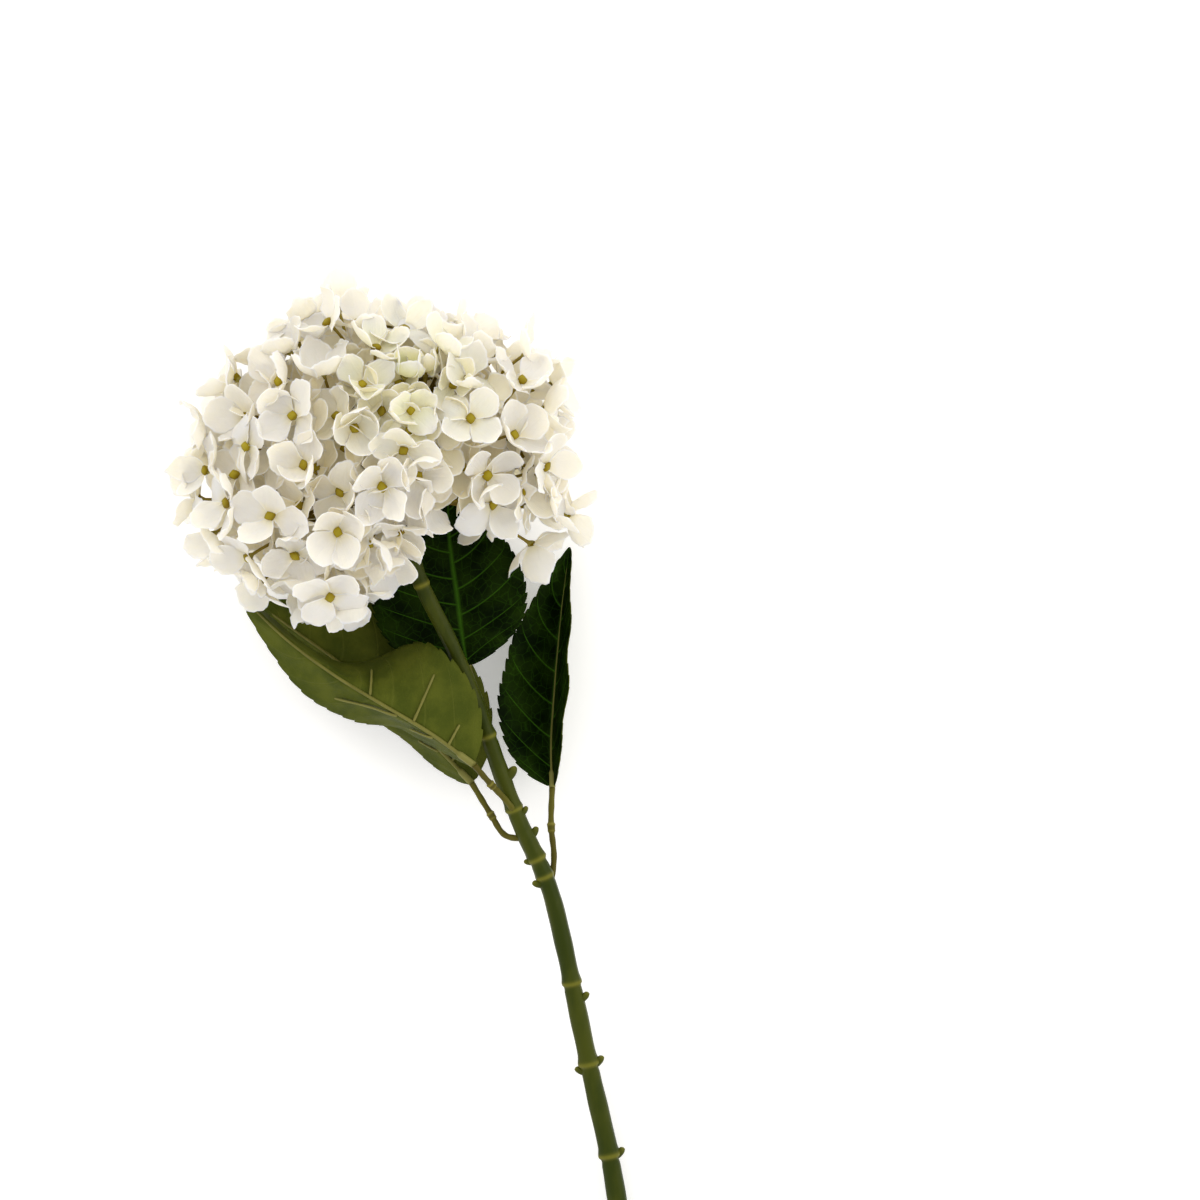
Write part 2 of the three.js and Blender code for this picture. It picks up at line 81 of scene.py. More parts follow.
def turned(vector: Array, axis: Array, angle: float) -> Array:
    """A vector turned about a unit axis by an angle in radians."""
    cosine, sine = math.cos(angle), math.sin(angle)
    return vector * cosine + np.cross(axis, vector) * sine + axis * np.dot(axis, vector) * (1 - cosine)


def angle_between(one: Array, other: Array) -> float:
    """The angle between two unit vectors, in radians."""
    return math.acos(max(-1.0, min(1.0, float(np.dot(one, other)))))


def square_axis(direction: Array) -> Array:
    """The world axis that lies most nearly square to a direction.

    Args:
        direction: a unit direction.

    Returns:
        The axis, as a unit direction.
    """
    axis = np.zeros(3)
    axis[int(np.argmin(np.abs(direction)))] = 1.0
    return axis


def lerp(start: float, end: float, share: float) -> float:
    """The value a share of the way from start to end."""
    return start + (end - start) * share


class SmoothCurve:
    """A uniform Catmull-Rom curve through points, from 0 at the first to 1 at the last."""

    def __init__(self, points: list[Point]) -> None:
        """Keeps the points that the curve passes through.

        Args:
            points: at least two points, in order.
        """
        self.points = np.array(points, float)

    def point(self, share: float) -> Array:
        """The place at a share of the curve.

        Args:
            share: from 0 to 1, in even steps from point to point.

        Returns:
            The place as an array of three numbers.
        """
        knots = self.points
        last = len(knots) - 1
        at = share * last
        index = min(int(math.floor(at)), last - 1)
        weight = at - index
        start, end = knots[index], knots[index + 1]
        before = knots[index - 1] if index > 0 else 2 * knots[0] - knots[1]
        after = knots[index + 2] if index + 2 <= last else 2 * knots[last] - knots[last - 1]
        leave, arrive = 0.5 * (end - before), 0.5 * (after - start)
        square = 3 * end - 3 * start - 2 * leave - arrive
        cube = 2 * start - 2 * end + leave + arrive
        return start + leave * weight + square * weight**2 + cube * weight**3

    def tangent(self, share: float) -> Array:
        """The unit direction of travel at a share of the curve."""
        step = 1e-4
        return unit(self.point(min(share + step, 1.0)) - self.point(max(share - step, 0.0)))


# ---------------------------------------------------------------- meshes
@dataclass
class Shell:
    """One closed surface, with values per point that its finish reads.

    Attributes:
        points: places in plan millimetres, one row each.
        faces: corner numbers of each face, counter-clockwise from outside.
        finish: the finish's number for each face.
        values: named numbers or vectors per point.
    """

    points: Array
    faces: list[tuple[int, ...]]
    finish: list[int]
    values: dict[str, Array] = field(default_factory=dict)


def thick_sheet(
    grid: Array, thickness: float, values: dict[str, Array], finishes: tuple[int, int],
) -> Shell:
    """A closed thin sheet round a grid of places.

    Args:
        grid: places as rows by columns by three.
        thickness: of the sheet, in millimetres.
        values: named numbers (rows by columns) or vectors (rows by columns by three).
        finishes: the finish numbers of the upper and the lower side.

    Returns:
        The sheet as a shell; its upper side is where rows cross columns points to.
    """
    rows, columns = grid.shape[:2]
    normal = unit(np.cross(np.gradient(grid, axis=0), np.gradient(grid, axis=1)))
    points = np.concatenate([grid + normal * thickness / 2, grid - normal * thickness / 2])
    points = points.reshape(-1, 3)
    number = np.arange(rows * columns).reshape(rows, columns)
    lower = rows * columns
    faces: list[tuple[int, ...]] = []
    corners = zip(number[:-1, :-1].flat, number[1:, :-1].flat, number[1:, 1:].flat, number[:-1, 1:].flat)
    quads = [tuple(int(corner) for corner in quad) for quad in corners]
    faces += quads
    faces += [tuple(corner + lower for corner in reversed(quad)) for quad in quads]
    rim = [*number[0, :], *number[1:, -1], *number[-1, -2::-1], *number[-2:0:-1, 0]]
    rim = [int(corner) for corner in rim]
    for here, there in zip(rim, rim[1:] + rim[:1]):
        faces.append((here, there, there + lower, here + lower))
    upper_side, lower_side = finishes
    finish = [upper_side] * len(quads) + [lower_side] * (len(faces) - len(quads))
    both = {name: np.concatenate([value, value]).reshape(2 * lower, -1) for name, value in values.items()}
    return Shell(points, faces, finish, both)


def ring_faces(count: int, sides: int) -> list[tuple[int, ...]]:
    """The faces of a closed body made of stacked rings.

    Args:
        count: the number of rings.
        sides: the number of points round each ring; the middles of the two ends come after them.

    Returns:
        The faces of the wall and of both ends.
    """
    first, last = count * sides, count * sides + 1
    top = (count - 1) * sides
    faces: list[tuple[int, ...]] = []
    for ring in range(count - 1):
        for side in range(sides):
            here, there = ring * sides + side, ring * sides + (side + 1) % sides
            faces.append((here, there, there + sides, here + sides))
    for here in range(sides):
        there = (here + 1) % sides
        faces.append((there, here, first))
        faces.append((top + here, top + there, last))
    return faces


def tube(path: Array, radii: Array, sides: int, values: dict[str, Array] | None = None) -> Shell:
    """A closed tube along a path, with a flat cap at each end.

    Args:
        path: the middle of each ring, one row each.
        radii: one radius for each ring, or one row of radii per ring and side.
        sides: the number of points round each ring.
        values: named numbers for each ring.

    Returns:
        The tube as a shell.
    """
    count = len(path)
    along = unit(np.gradient(path, axis=0))
    across = np.zeros_like(path)
    across[0] = unit(np.cross(square_axis(along[0]), along[0]))
    for ring in range(1, count):
        carried = across[ring - 1] - along[ring] * np.dot(across[ring - 1], along[ring])
        across[ring] = unit(carried)
    third = np.cross(along, across)
    turns = np.arange(sides) * 2 * math.pi / sides
    reach = radii if radii.ndim == 2 else np.repeat(radii[:, None], sides, axis=1)
    rings = path[:, None, :] + reach[:, :, None] * (
        across[:, None, :] * np.cos(turns)[None, :, None] + third[:, None, :] * np.sin(turns)[None, :, None]
    )
    points = np.concatenate([rings.reshape(-1, 3), path[:1], path[-1:]])
    faces = ring_faces(count, sides)
    kept = {}
    for name, value in (values or {}).items():
        kept[name] = np.concatenate([np.repeat(value, sides), value[:1], value[-1:]]).reshape(-1, 1)
    return Shell(points, faces, [0] * len(faces), kept)


class Frame:
    """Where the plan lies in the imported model."""

    def __init__(self, node: str, plan_points: Array) -> None:
        """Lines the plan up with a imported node.

        Args:
            node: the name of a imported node.
            plan_points: the same node's points in plan millimetres.
        """
        low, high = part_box(node)
        middle = (plan_points.min(0) + plan_points.max(0)) / 2 * MM
        self.shift = np.array((low + high) / 2) - middle
        self.shift[2] = 0.0

    def to_world(self, points: Array) -> Array:
        """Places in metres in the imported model, from plan millimetres."""
        return points * MM + self.shift


@dataclass
class Piece:
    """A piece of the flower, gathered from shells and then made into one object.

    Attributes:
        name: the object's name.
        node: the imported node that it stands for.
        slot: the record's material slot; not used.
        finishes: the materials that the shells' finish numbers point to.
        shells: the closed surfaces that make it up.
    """

    name: str
    node: str
    slot: str
    finishes: list[bpy.types.Material]
    shells: list[Shell] = field(default_factory=list)

    def make(self, place: Frame) -> bpy.types.Object:
        """Makes the object, lets it ride on the body and stand for its node.

        Args:
            place: the frame that turns plan millimetres into metres.

        Returns:
            The new object.
        """
        points, faces, finish, start = [], [], [], 0
        for shell in self.shells:
            points.append(shell.points)
            faces += [tuple(corner + start for corner in face) for face in shell.faces]
            finish += shell.finish
            start += len(shell.points)
        mesh = bpy.data.meshes.new(self.name)
        mesh.from_pydata(place.to_world(np.concatenate(points)).tolist(), [], faces)
        mesh.polygons.foreach_set("use_smooth", [True] * len(faces))
        for material in self.finishes:
            mesh.materials.append(material)
        mesh.polygons.foreach_set("material_index", finish)
        for name in self.shells[0].values:
            value = np.concatenate([shell.values[name] for shell in self.shells])
            kind, key = ("FLOAT", "value") if value.shape[1] == 1 else ("FLOAT_VECTOR", "vector")
            made = mesh.attributes.new(name, kind, "POINT")
            made.data.foreach_set(key, value.astype(np.float32).ravel())
        mesh.update()
        piece = bpy.data.objects.new(self.name, mesh)
        bpy.context.scene.collection.objects.link(piece)
        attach(piece, BODY)
        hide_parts(self.node)
        LOG.info("%s: %d faces", self.name, len(faces))
        return piece


# ---------------------------------------------------------------- finishes
class NodeSheet:
    """A node tree that is filled in by short calls."""

    def __init__(self, tree: bpy.types.NodeTree) -> None:
        """Starts on an empty tree.

        Args:
            tree: the tree to fill in.
        """
        self.tree = tree
        tree.nodes.clear()

    def add(self, kind: str, settings: dict[str, object] | None = None, **inputs: object) -> bpy.types.Node:
        """Adds a node.

        Args:
            kind: the node's type name.
            settings: the node's own properties.
            **inputs: values or sockets for its inputs, named in lower case with underscores,
                or in_0, in_1 and so on by number.

        Returns:
            The new node.
        """
        node = self.tree.nodes.new(kind)
        for name, value in (settings or {}).items():
            setattr(node, name, value)
        for name, value in inputs.items():
            if name.startswith("in_"):
                socket = node.inputs[int(name[3:])]
            else:
                socket = next(s for s in node.inputs if s.name.lower().replace(" ", "_") == name)
            if isinstance(value, bpy.types.NodeSocket):
                self.tree.links.new(value, socket)
            else:
                socket.default_value = value
        return node

    def math(self, operation: str, *inputs: object, clamp: bool = False) -> bpy.types.NodeSocket:
        """Adds a Math node and returns its output."""
        named = {f"in_{index}": value for index, value in enumerate(inputs)}
        return self.add("ShaderNodeMath", {"operation": operation, "use_clamp": clamp}, **named).outputs[0]

    def blend(self, share: object, start: object, end: object, way: str = "MIX") -> bpy.types.NodeSocket:
        """Adds a colour Mix node and returns its output.

        Args:
            share: how much of the second colour shows.
            start: the first colour.
            end: the second colour.
            way: the blend mode.

        Returns:
            The blended colour.
        """
        node = self.tree.nodes.new("ShaderNodeMix")
        node.data_type, node.blend_type = "RGBA", way
        for socket, value in zip((node.inputs[0], node.inputs[6], node.inputs[7]), (share, start, end)):
            if isinstance(value, bpy.types.NodeSocket):
                self.tree.links.new(value, socket)
            else:
                socket.default_value = value if isinstance(value, float) else (*value[:3], 1.0)
        return node.outputs[2]

    def value(self, name: str) -> bpy.types.NodeSocket:
        """A named number that the mesh carries."""
        node = self.add("ShaderNodeAttribute", {"attribute_name": name})
        return node.outputs["Fac"]

    def vector(self, name: str) -> bpy.types.NodeSocket:
        """A named vector that the mesh carries."""
        node = self.add("ShaderNodeAttribute", {"attribute_name": name})
        return node.outputs["Vector"]

    def step(self, value: object, low: float, high: float) -> bpy.types.NodeSocket:
        """A smooth step from 0 at low to 1 at high.

        Args:
            value: what the step is taken on.
            low: where the step starts.
            high: where it ends.

        Returns:
            The step from 0 to 1.
        """
        node = self.add("ShaderNodeMapRange", {"interpolation_type": "SMOOTHSTEP"}, value=value)
        node.inputs["From Min"].default_value = low
        node.inputs["From Max"].default_value = high
        return node.outputs[0]

    def group(self, tree: bpy.types.NodeTree, **inputs: object) -> bpy.types.Node:
        """Places a node group with values for its inputs."""
        return self.add("ShaderNodeGroup", {"node_tree": tree}, **inputs)

    def finish(self, shader: bpy.types.Node) -> None:
        """Joins a shader to the material's output."""
        output = self.add("ShaderNodeOutputMaterial")
        self.tree.links.new(shader.outputs[0], output.inputs[0])


def new_group(name: str, inputs: dict[str, tuple[str, float]], outputs: list[str]) -> bpy.types.NodeTree:
    """A node group with named sockets and nothing inside.

    Args:
        name: the group's name.
        inputs: each input's name, with its kind (FLOAT or VECTOR) and default.
        outputs: names of the number outputs.

    Returns:
        The group.
    """
    tree = bpy.data.node_groups.new(name, "ShaderNodeTree")
    for title, (kind, start) in inputs.items():
        socket = tree.interface.new_socket(title, in_out="INPUT", socket_type=f"NodeSocket{kind.title()}")
        if kind == "FLOAT":
            socket.default_value = start
    for title in outputs:
        tree.interface.new_socket(title, in_out="OUTPUT", socket_type="NodeSocketFloat")
    return tree


class SharedEffects:
    """The node groups that several finishes use."""

    def __init__(self) -> None:
        """Builds each group once."""
        self.weave = self._weave()
        self.mottle = self._mottle()
        self.leaf_veins = self._leaf_veins()

    @staticmethod
    def _ends(sheet: NodeSheet) -> tuple[bpy.types.Node, bpy.types.Node]:
        """The group's input and output nodes."""
        return sheet.add("NodeGroupInput"), sheet.add("NodeGroupOutput")

    def _weave(self) -> bpy.types.NodeTree:
        """Crossing threads of a plain weave, from flat cloth millimetres.

        Returns:
            The node group.
        """
        tree = new_group("cloth weave", {"Cloth": ("VECTOR", 0), "Pitch": ("FLOAT", 0.5)}, ["Height"])
        sheet = NodeSheet(tree)
        start, end = self._ends(sheet)
        parts = sheet.add("ShaderNodeSeparateXYZ", in_0=start.outputs["Cloth"])
        rate = sheet.math("DIVIDE", 2 * math.pi, start.outputs["Pitch"])
        warp = sheet.math("SINE", sheet.math("MULTIPLY", parts.outputs[0], rate))
        weft = sheet.math("SINE", sheet.math("MULTIPLY", parts.outputs[1], rate))
        height = sheet.math("MULTIPLY_ADD", sheet.math("MULTIPLY", warp, weft), 0.5, 0.5)
        tree.links.new(height, end.inputs["Height"])
        return tree

    def _mottle(self) -> bpy.types.NodeTree:
        """Broad and fine uneven patches, from places in millimetres.

        Returns:
            The node group.
        """
        inputs = {"Place": ("VECTOR", 0), "Broad": ("FLOAT", 0.05), "Fine": ("FLOAT", 0.4)}
        tree = new_group("mottle", inputs, ["Broad", "Fine"])
        sheet = NodeSheet(tree)
        start, end = self._ends(sheet)
        for name in ("Broad", "Fine"):
            place, scale = start.outputs["Place"], start.outputs[name]
            noise = sheet.add("ShaderNodeTexNoise", vector=place, scale=scale)
            noise.inputs["Detail"].default_value = 4.0
            tree.links.new(noise.outputs["Fac"], end.inputs[name])
        return tree

    def _leaf_veins(self) -> bpy.types.NodeTree:
        """Arching side veins with the swell between them, from shares along and across a leaf.

        Returns:
            The node group.
        """
        inputs = {"Along": ("FLOAT", 0), "Across": ("FLOAT", 0), "Pairs": ("FLOAT", 7)}
        inputs["Slant"] = ("FLOAT", 0.2)
        tree = new_group("leaf veins", inputs, ["Vein", "Swell", "Midrib"])
        sheet = NodeSheet(tree)
        start, end = self._ends(sheet)
        out = sheet.math("ABSOLUTE", start.outputs["Across"])
        gain = sheet.math("MULTIPLY", sheet.math("POWER", out, 1.35), start.outputs["Slant"])
        side = sheet.math("MULTIPLY", sheet.math("SIGN", start.outputs["Across"]), 0.2)
        foot = sheet.math("SUBTRACT", start.outputs["Along"], gain)
        rate = sheet.math("MULTIPLY", foot, start.outputs["Pairs"])
        phase = sheet.math("FRACT", sheet.math("ADD", sheet.math("ADD", rate, side), 10.0))
        off = sheet.math("ABSOLUTE", sheet.math("SUBTRACT", phase, 0.5))
        thin = sheet.math("MULTIPLY_ADD", out, -0.03, 0.055)
        vein = sheet.math("SUBTRACT", 1.0, sheet.math("DIVIDE", off, thin), clamp=True)
        fade = sheet.step(out, 1.0, 0.72)
        tree.links.new(sheet.math("MULTIPLY", vein, fade), end.inputs["Vein"])
        swell = sheet.math("SINE", sheet.math("MULTIPLY", off, math.pi))
        tree.links.new(swell, end.inputs["Swell"])
        middle = sheet.math("SUBTRACT", 1.0, sheet.math("DIVIDE", out, 0.045), clamp=True)
        tree.links.new(middle, end.inputs["Midrib"])
        return tree


def new_material(name: str) -> tuple[bpy.types.Material, NodeSheet]:
    """A material with an empty node sheet.

    Args:
        name: of the material.

    Returns:
        The material and its node sheet.
    """
    material = bpy.data.materials.new(name)
    material.use_nodes = True
    return material, NodeSheet(material.node_tree)


@dataclass(frozen=True)
class PetalCloth:
    """Stiffened white petal cloth, greenish where the floret is young.

    Attributes:
        cream: the open part of a petal.
        shade: painted shade, a warmer and slightly darker tint on petals nested deep in the head, where the
            outer florets shade them.
        claw: the warm foot of a petal.
        young: the tint of an unripe petal.
        edge: the bleached cut edge.
        roughness: of the cloth.
        glow: share of light that spreads within the cloth.
        through: strength of a glow painted into the petals in their own colour, which stands in for light
            that reaches a petal through the petals behind it.
        pitch: thread pitch in millimetres.
    """

    cream: Colour = (0.885, 0.835, 0.715)
    shade: Colour = (0.86, 0.74, 0.42)
    claw: Colour = (0.80, 0.68, 0.33)
    young: Colour = (0.80, 0.80, 0.33)
    # edge: the whiter colour along a petal's margin.
    edge: Colour = (0.91, 0.89, 0.85)
    roughness: float = 0.72
    glow: float = 0.6
    through: float = 0.07
    pitch: float = 0.42

    def material(self, effects: SharedEffects) -> bpy.types.Material:
        """Builds the material.

        Args:
            effects: the shared node groups.

        Returns:
            The petal material.
        """
        material, sheet = new_material("petal_cloth")
        out, across = sheet.value("petal_out"), sheet.value("petal_across")
        young, deep, own = sheet.value("young"), sheet.value("deep"), sheet.value("own")
        cloth = sheet.vector("cloth")
        unripe = sheet.math("MULTIPLY", young, sheet.step(out, 1.1, 0.35))
        body = sheet.blend(unripe, self.cream, self.young)
        # painted shade: petals nested deep in the head are tinted warmer and darker
        body = sheet.blend(sheet.math("MULTIPLY", deep, 0.8), body, self.shade)
        foot = sheet.step(out, 0.40, 0.04)
        body = sheet.blend(sheet.math("MULTIPLY", foot, 0.7), body, self.claw)
        rim = sheet.step(sheet.value("petal_rim"), 0.86, 0.985)
        body = sheet.blend(sheet.math("MULTIPLY", rim, 0.8), body, self.edge)
        patches = sheet.group(effects.mottle, place=cloth, broad=0.09, fine=0.7)
        dim = sheet.math("MULTIPLY_ADD", patches.outputs["Broad"], 0.10, 0.91)
        dim = sheet.math("MULTIPLY_ADD", own, 0.05, dim, clamp=True)
        shade = sheet.add("ShaderNodeCombineColor", in_0=dim, in_1=dim, in_2=dim)
        body = sheet.blend(1.0, body, shade.outputs[0], "MULTIPLY")
        fan = sheet.add("ShaderNodeTexNoise", {"noise_dimensions": "3D"}, scale=1.0, detail=2.0)
        spokes = sheet.add("ShaderNodeCombineXYZ", in_0=sheet.math("MULTIPLY", across, 9.0),
                           in_1=sheet.math("MULTIPLY", out, 1.1), in_2=sheet.math("MULTIPLY", own, 50.0))
        sheet.tree.links.new(spokes.outputs[0], fan.inputs["Vector"])
        weave = sheet.group(effects.weave, cloth=cloth, pitch=self.pitch)
        relief = sheet.math("MULTIPLY_ADD", weave.outputs["Height"], 0.12, fan.outputs["Fac"])
        bump = sheet.add("ShaderNodeBump", strength=0.55, distance=0.0007, height=relief)
        shader = sheet.add(
            "ShaderNodeBsdfPrincipled", base_color=body, roughness=self.roughness,
            subsurface_weight=self.glow, subsurface_scale=0.004, sheen_weight=0.25, sheen_roughness=0.5,
            # painted glow: the petals give off light in their own colour, standing in for light that comes
            # through the cloth
            emission_color=body, emission_strength=self.through,
            normal=bump.outputs[0],
        )
        shader.inputs["Subsurface Radius"].default_value = (1.0, 0.8, 0.45)
        shader.inputs["Specular IOR Level"].default_value = 0.25
        sheet.finish(shader)
        return material


@dataclass(frozen=True)
class MouldedPlastic:
    """Satin moulded plastic with streaks along it and paler ridges.

    Attributes:
        name: the material's name.
        base: its main colour.
        deep: the colour of its darker streaks.
        ridge: the colour on raised rings, edges and parting lines.
        roughness: of the surface.
    """

    name: str
    base: Colour
    deep: Colour
    ridge: Colour
    roughness: float = 0.42

    def material(self, effects: SharedEffects) -> bpy.types.Material:
        """Builds the material.

        Args:
            effects: the shared node groups.

        Returns:
            The plastic material.
        """
        material, sheet = new_material(self.name)
        place = sheet.add("ShaderNodeTexCoord").outputs["Object"]
        stretched = sheet.add("ShaderNodeMapping", vector=place)
        stretched.inputs["Scale"].default_value = (1000.0, 320.0, 1000.0)
        patches = sheet.group(effects.mottle, place=stretched.outputs[0], broad=0.08, fine=0.6)
        body = sheet.blend(sheet.step(patches.outputs["Broad"], 0.35, 0.68), self.deep, self.base)
        body = sheet.blend(sheet.value("ridge"), body, self.ridge)
        grain = sheet.math("MULTIPLY_ADD", patches.outputs["Fine"], 0.3, self.roughness - 0.15)
        bump = sheet.add("ShaderNodeBump", strength=0.35, distance=0.0004, height=patches.outputs["Fine"])
        shader = sheet.add(
            "ShaderNodeBsdfPrincipled", base_color=body, roughness=grain, normal=bump.outputs[0],
        )
        shader.inputs["Specular IOR Level"].default_value = 0.10
        sheet.finish(shader)
        return material


@dataclass(frozen=True)
class LeafCloth:
    """One side of a coated cloth leaf.

    Attributes:
        name: the material's name.
        base: its main colour.
        deep: the colour of its darker patches.
        vein: the colour of its veins.
        vein_show: how strongly the veins are coloured.
        roughness: of the surface.
        gloss: strength of its reflections.
    """

    name: str
    base: Colour
    deep: Colour
    vein: Colour
    vein_show: float
    roughness: float
    gloss: float

    def material(self, effects: SharedEffects) -> bpy.types.Material:
        """Builds the material.

        Args:
            effects: the shared node groups.

        Returns:
            The leaf material.
        """
        material, sheet = new_material(self.name)
        along, across = sheet.value("leaf_along"), sheet.value("leaf_across")
        cloth = sheet.vector("cloth")
        veins = sheet.group(effects.leaf_veins, along=along, across=across, pairs=7.5, slant=0.2)
        patches = sheet.group(effects.mottle, place=cloth, broad=0.06, fine=0.9)
        body = sheet.blend(sheet.step(patches.outputs["Broad"], 0.36, 0.66), self.deep, self.base)
        cells = sheet.add("ShaderNodeTexVoronoi", {"feature": "DISTANCE_TO_EDGE"}, vector=cloth, scale=0.2)
        net = sheet.math("MULTIPLY", sheet.step(cells.outputs["Distance"], 0.05, 0.0), 0.22)
        lines = sheet.math("MAXIMUM", veins.outputs["Vein"], veins.outputs["Midrib"])
        lines = sheet.math("MAXIMUM", lines, net)
        body = sheet.blend(sheet.math("MULTIPLY", lines, self.vein_show), body, self.vein)
        weave = sheet.group(effects.weave, cloth=cloth, pitch=0.6)
        relief = sheet.math("MULTIPLY_ADD", weave.outputs["Height"], 0.25, patches.outputs["Fine"])
        relief = sheet.math("MULTIPLY_ADD", lines, -0.8, relief)
        bump = sheet.add("ShaderNodeBump", strength=0.5, distance=0.0006, height=relief)
        grain = sheet.math("MULTIPLY_ADD", patches.outputs["Broad"], 0.25, self.roughness - 0.12)
        shader = sheet.add(
            "ShaderNodeBsdfPrincipled", base_color=body, roughness=grain, normal=bump.outputs[0],
        )
        shader.inputs["Specular IOR Level"].default_value = self.gloss
        sheet.finish(shader)
        return material


class Finishes:
    """Every material of the flower, built once."""

    def __init__(self) -> None:
        """Builds the shared effects and then each material."""
        effects = SharedEffects()
        self.petal = PetalCloth().material(effects)
        self.pip = MouldedPlastic(
            "pip_plastic", (0.30, 0.225, 0.008), (0.19, 0.13, 0.005), (0.42, 0.35, 0.03), 0.5,
        ).material(effects)
        self.stalk = MouldedPlastic(
            "stalk_plastic", (0.30, 0.235, 0.035), (0.20, 0.14, 0.02), (0.38, 0.34, 0.08), 0.45,
        ).material(effects)
        self.stem = MouldedPlastic(
            "stem_plastic", (0.050, 0.060, 0.0035), (0.026, 0.038, 0.0015), (0.15, 0.145, 0.015),
        ).material(effects)
        self.petiole = MouldedPlastic(
            "petiole_plastic", (0.085, 0.078, 0.006), (0.055, 0.045, 0.004), (0.20, 0.18, 0.03),
        ).material(effects)
        self.rib = MouldedPlastic(
            "rib_plastic", (0.155, 0.145, 0.030), (0.105, 0.100, 0.018), (0.23, 0.22, 0.06),
        ).material(effects)
        self.leaf_top = LeafCloth(
            "leaf_top", (0.0100, 0.0250, 0.0010), (0.0018, 0.0060, 0.0002), (0.045, 0.140, 0.007),
            vein_show=0.75, roughness=0.45, gloss=0.03,
        ).material(effects)
        self.leaf_under = LeafCloth(
            "leaf_under", (0.088, 0.103, 0.0105), (0.054, 0.070, 0.006), (0.120, 0.132, 0.020),
            vein_show=0.35, roughness=0.6, gloss=0.06,
        ).material(effects)


# ---------------------------------------------------------------- stem
@dataclass
class MainStem:
    """The jointed stem, from its top in the head to its cut end.

    Attributes:
        route: points along its middle.
        top_radius: at the head.
        cut_radius: at the cut end.
        rings: joint rings as share of the length and how far each stands out.
        buds: leaf scars and buds as share of the length, side in degrees and size.
        steps: rings of the mesh along the stem.
        sides: points round it.
    """

    route: list[Point] = field(default_factory=lambda: [
        (10.5, -32, 57.5), (16.5, -61.5, 53), (32.5, -95, 46.5), (46, -127.5, 41), (56.5, -158, 36),
        (67, -186, 31.5), (81, -217, 27), (89, -248, 22.5), (96, -282, 18.5), (104, -320, 14.5),
        (112.5, -358, 11.5), (119, -398, 8.8), (125, -437, 6.7), (130, -475, 5.5)])
    top_radius: float = 3.7
    cut_radius: float = 5.3
    rings: list[tuple[float, float]] = field(default_factory=lambda: [
        (0.085, 0.5), (0.265, 0.7), (0.365, 0.6), (0.43, 0.8), (0.452, 0.5), (0.585, 0.7),
        (0.672, 1.0), (0.768, 1.0), (0.868, 0.9), (0.945, 0.9)])
    buds: list[Point] = field(default_factory=lambda: [
        (0.318, 5, 3.0), (0.372, 8, 2.0), (0.402, -10, 2.4), (0.43, 178, 2.0), (0.458, 172, 2.4),
        (0.603, 12, 2.4), (0.678, 185, 2.4), (0.672, 0, 2.6), (0.768, -5, 2.6), (0.87, 170, 2.2)])
    steps: int = 520
    sides: int = 28

    def __post_init__(self) -> None:
        """Draws the curve that the stem follows."""
        self.curve = SmoothCurve(self.route)

    def radius(self, share: float) -> float:
        """The plain radius at a share of the length."""
        return lerp(self.top_radius, self.cut_radius, share)

    def ring_height(self, share: float) -> tuple[float, float]:
        """How far joint rings stand out, and how much a ridge shows, at a share of the length.

        Args:
            share: of the stem's length.

        Returns:
            The rings' height in millimetres, and the ridge's weight from 0 to 1.
        """
        height, ridge = 0.0, 0.0
        for at, tall in self.rings:
            gap = (share - at) * 500
            if gap < 0:
                swell = math.exp(-((gap / 3.2) ** 2))
            else:
                swell = math.exp(-((gap / 0.9) ** 2)) - 0.35 * math.exp(-(((gap - 2.4) / 1.4) ** 2))
            height += tall * swell
            ridge = max(ridge, math.exp(-((gap / 1.3) ** 2)))
        return height, ridge

    def shaft(self) -> Shell:
        """The stem's body with rings, flutes, dents and the mould's parting lines.

        Returns:
            The stem's shell.
        """
        shares = np.linspace(0, 1, self.steps)
        path = np.array([self.curve.point(share) for share in shares])
        turns = np.arange(self.sides) * 2 * math.pi / self.sides
        radii = np.zeros((self.steps, self.sides))
        ridges = np.zeros(self.steps)
        for row, share in enumerate(shares):
            height, ridges[row] = self.ring_height(share)
            flute = 0.10 * np.cos(3 * turns + 5 * share) + 0.07 * np.cos(7 * turns - 9 * share)
            dent = 0.10 * math.sin(61 * share + 1.3) + 0.07 * math.sin(143 * share)
            seam = 0.20 * (np.exp(-((np.sin(turns / 2 - 0.35)) / 0.07) ** 2)
                           + np.exp(-((np.cos(turns / 2 - 0.35)) / 0.07) ** 2))
            radii[row] = self.radius(share) + height + flute + dent + seam
        radii[0] *= 0.82
        radii[-1] *= 0.93
        return tube(path, radii, self.sides, {"ridge": ridges})

    def bud(self, share: float, side: float, size: float) -> Shell:
        """A blunt bud or leaf scar that leans towards the head.

        Args:
            share: where it grows, as a share of the stem's length.
            side: the side it grows on, in degrees from level.
            size: how far it stands out, in millimetres.

        Returns:
            The bud as a shell.
        """
        along = self.curve.tangent(share)
        level = unit(np.cross(np.array([0.0, 0.0, 1.0]), along))
        outward = turned(level, along, math.radians(side))
        start = self.curve.point(share) + along * size * 0.7
        end = self.curve.point(share) + outward * (self.radius(share) + size) - along * size
        shares = np.linspace(0, 1, 14)
        lift = outward * size * 0.6
        path = start + shares[:, None] * (end - start) + np.sin(shares * math.pi)[:, None] * lift
        radii = size * (0.95 - 0.5 * shares**2) * np.where(shares > 0.97, 0.55, 1.0)
        return tube(path, radii, 12, {"ridge": shares**3 * 0.8})

    def build(self, place: Frame, finishes: Finishes) -> None:
        """Makes the stem as one piece."""
        shells = [self.shaft(), *[self.bud(*bud) for bud in self.buds]]
        Piece("stem_with_buds", "main_stem", "stem", [finishes.stem], shells).make(place)


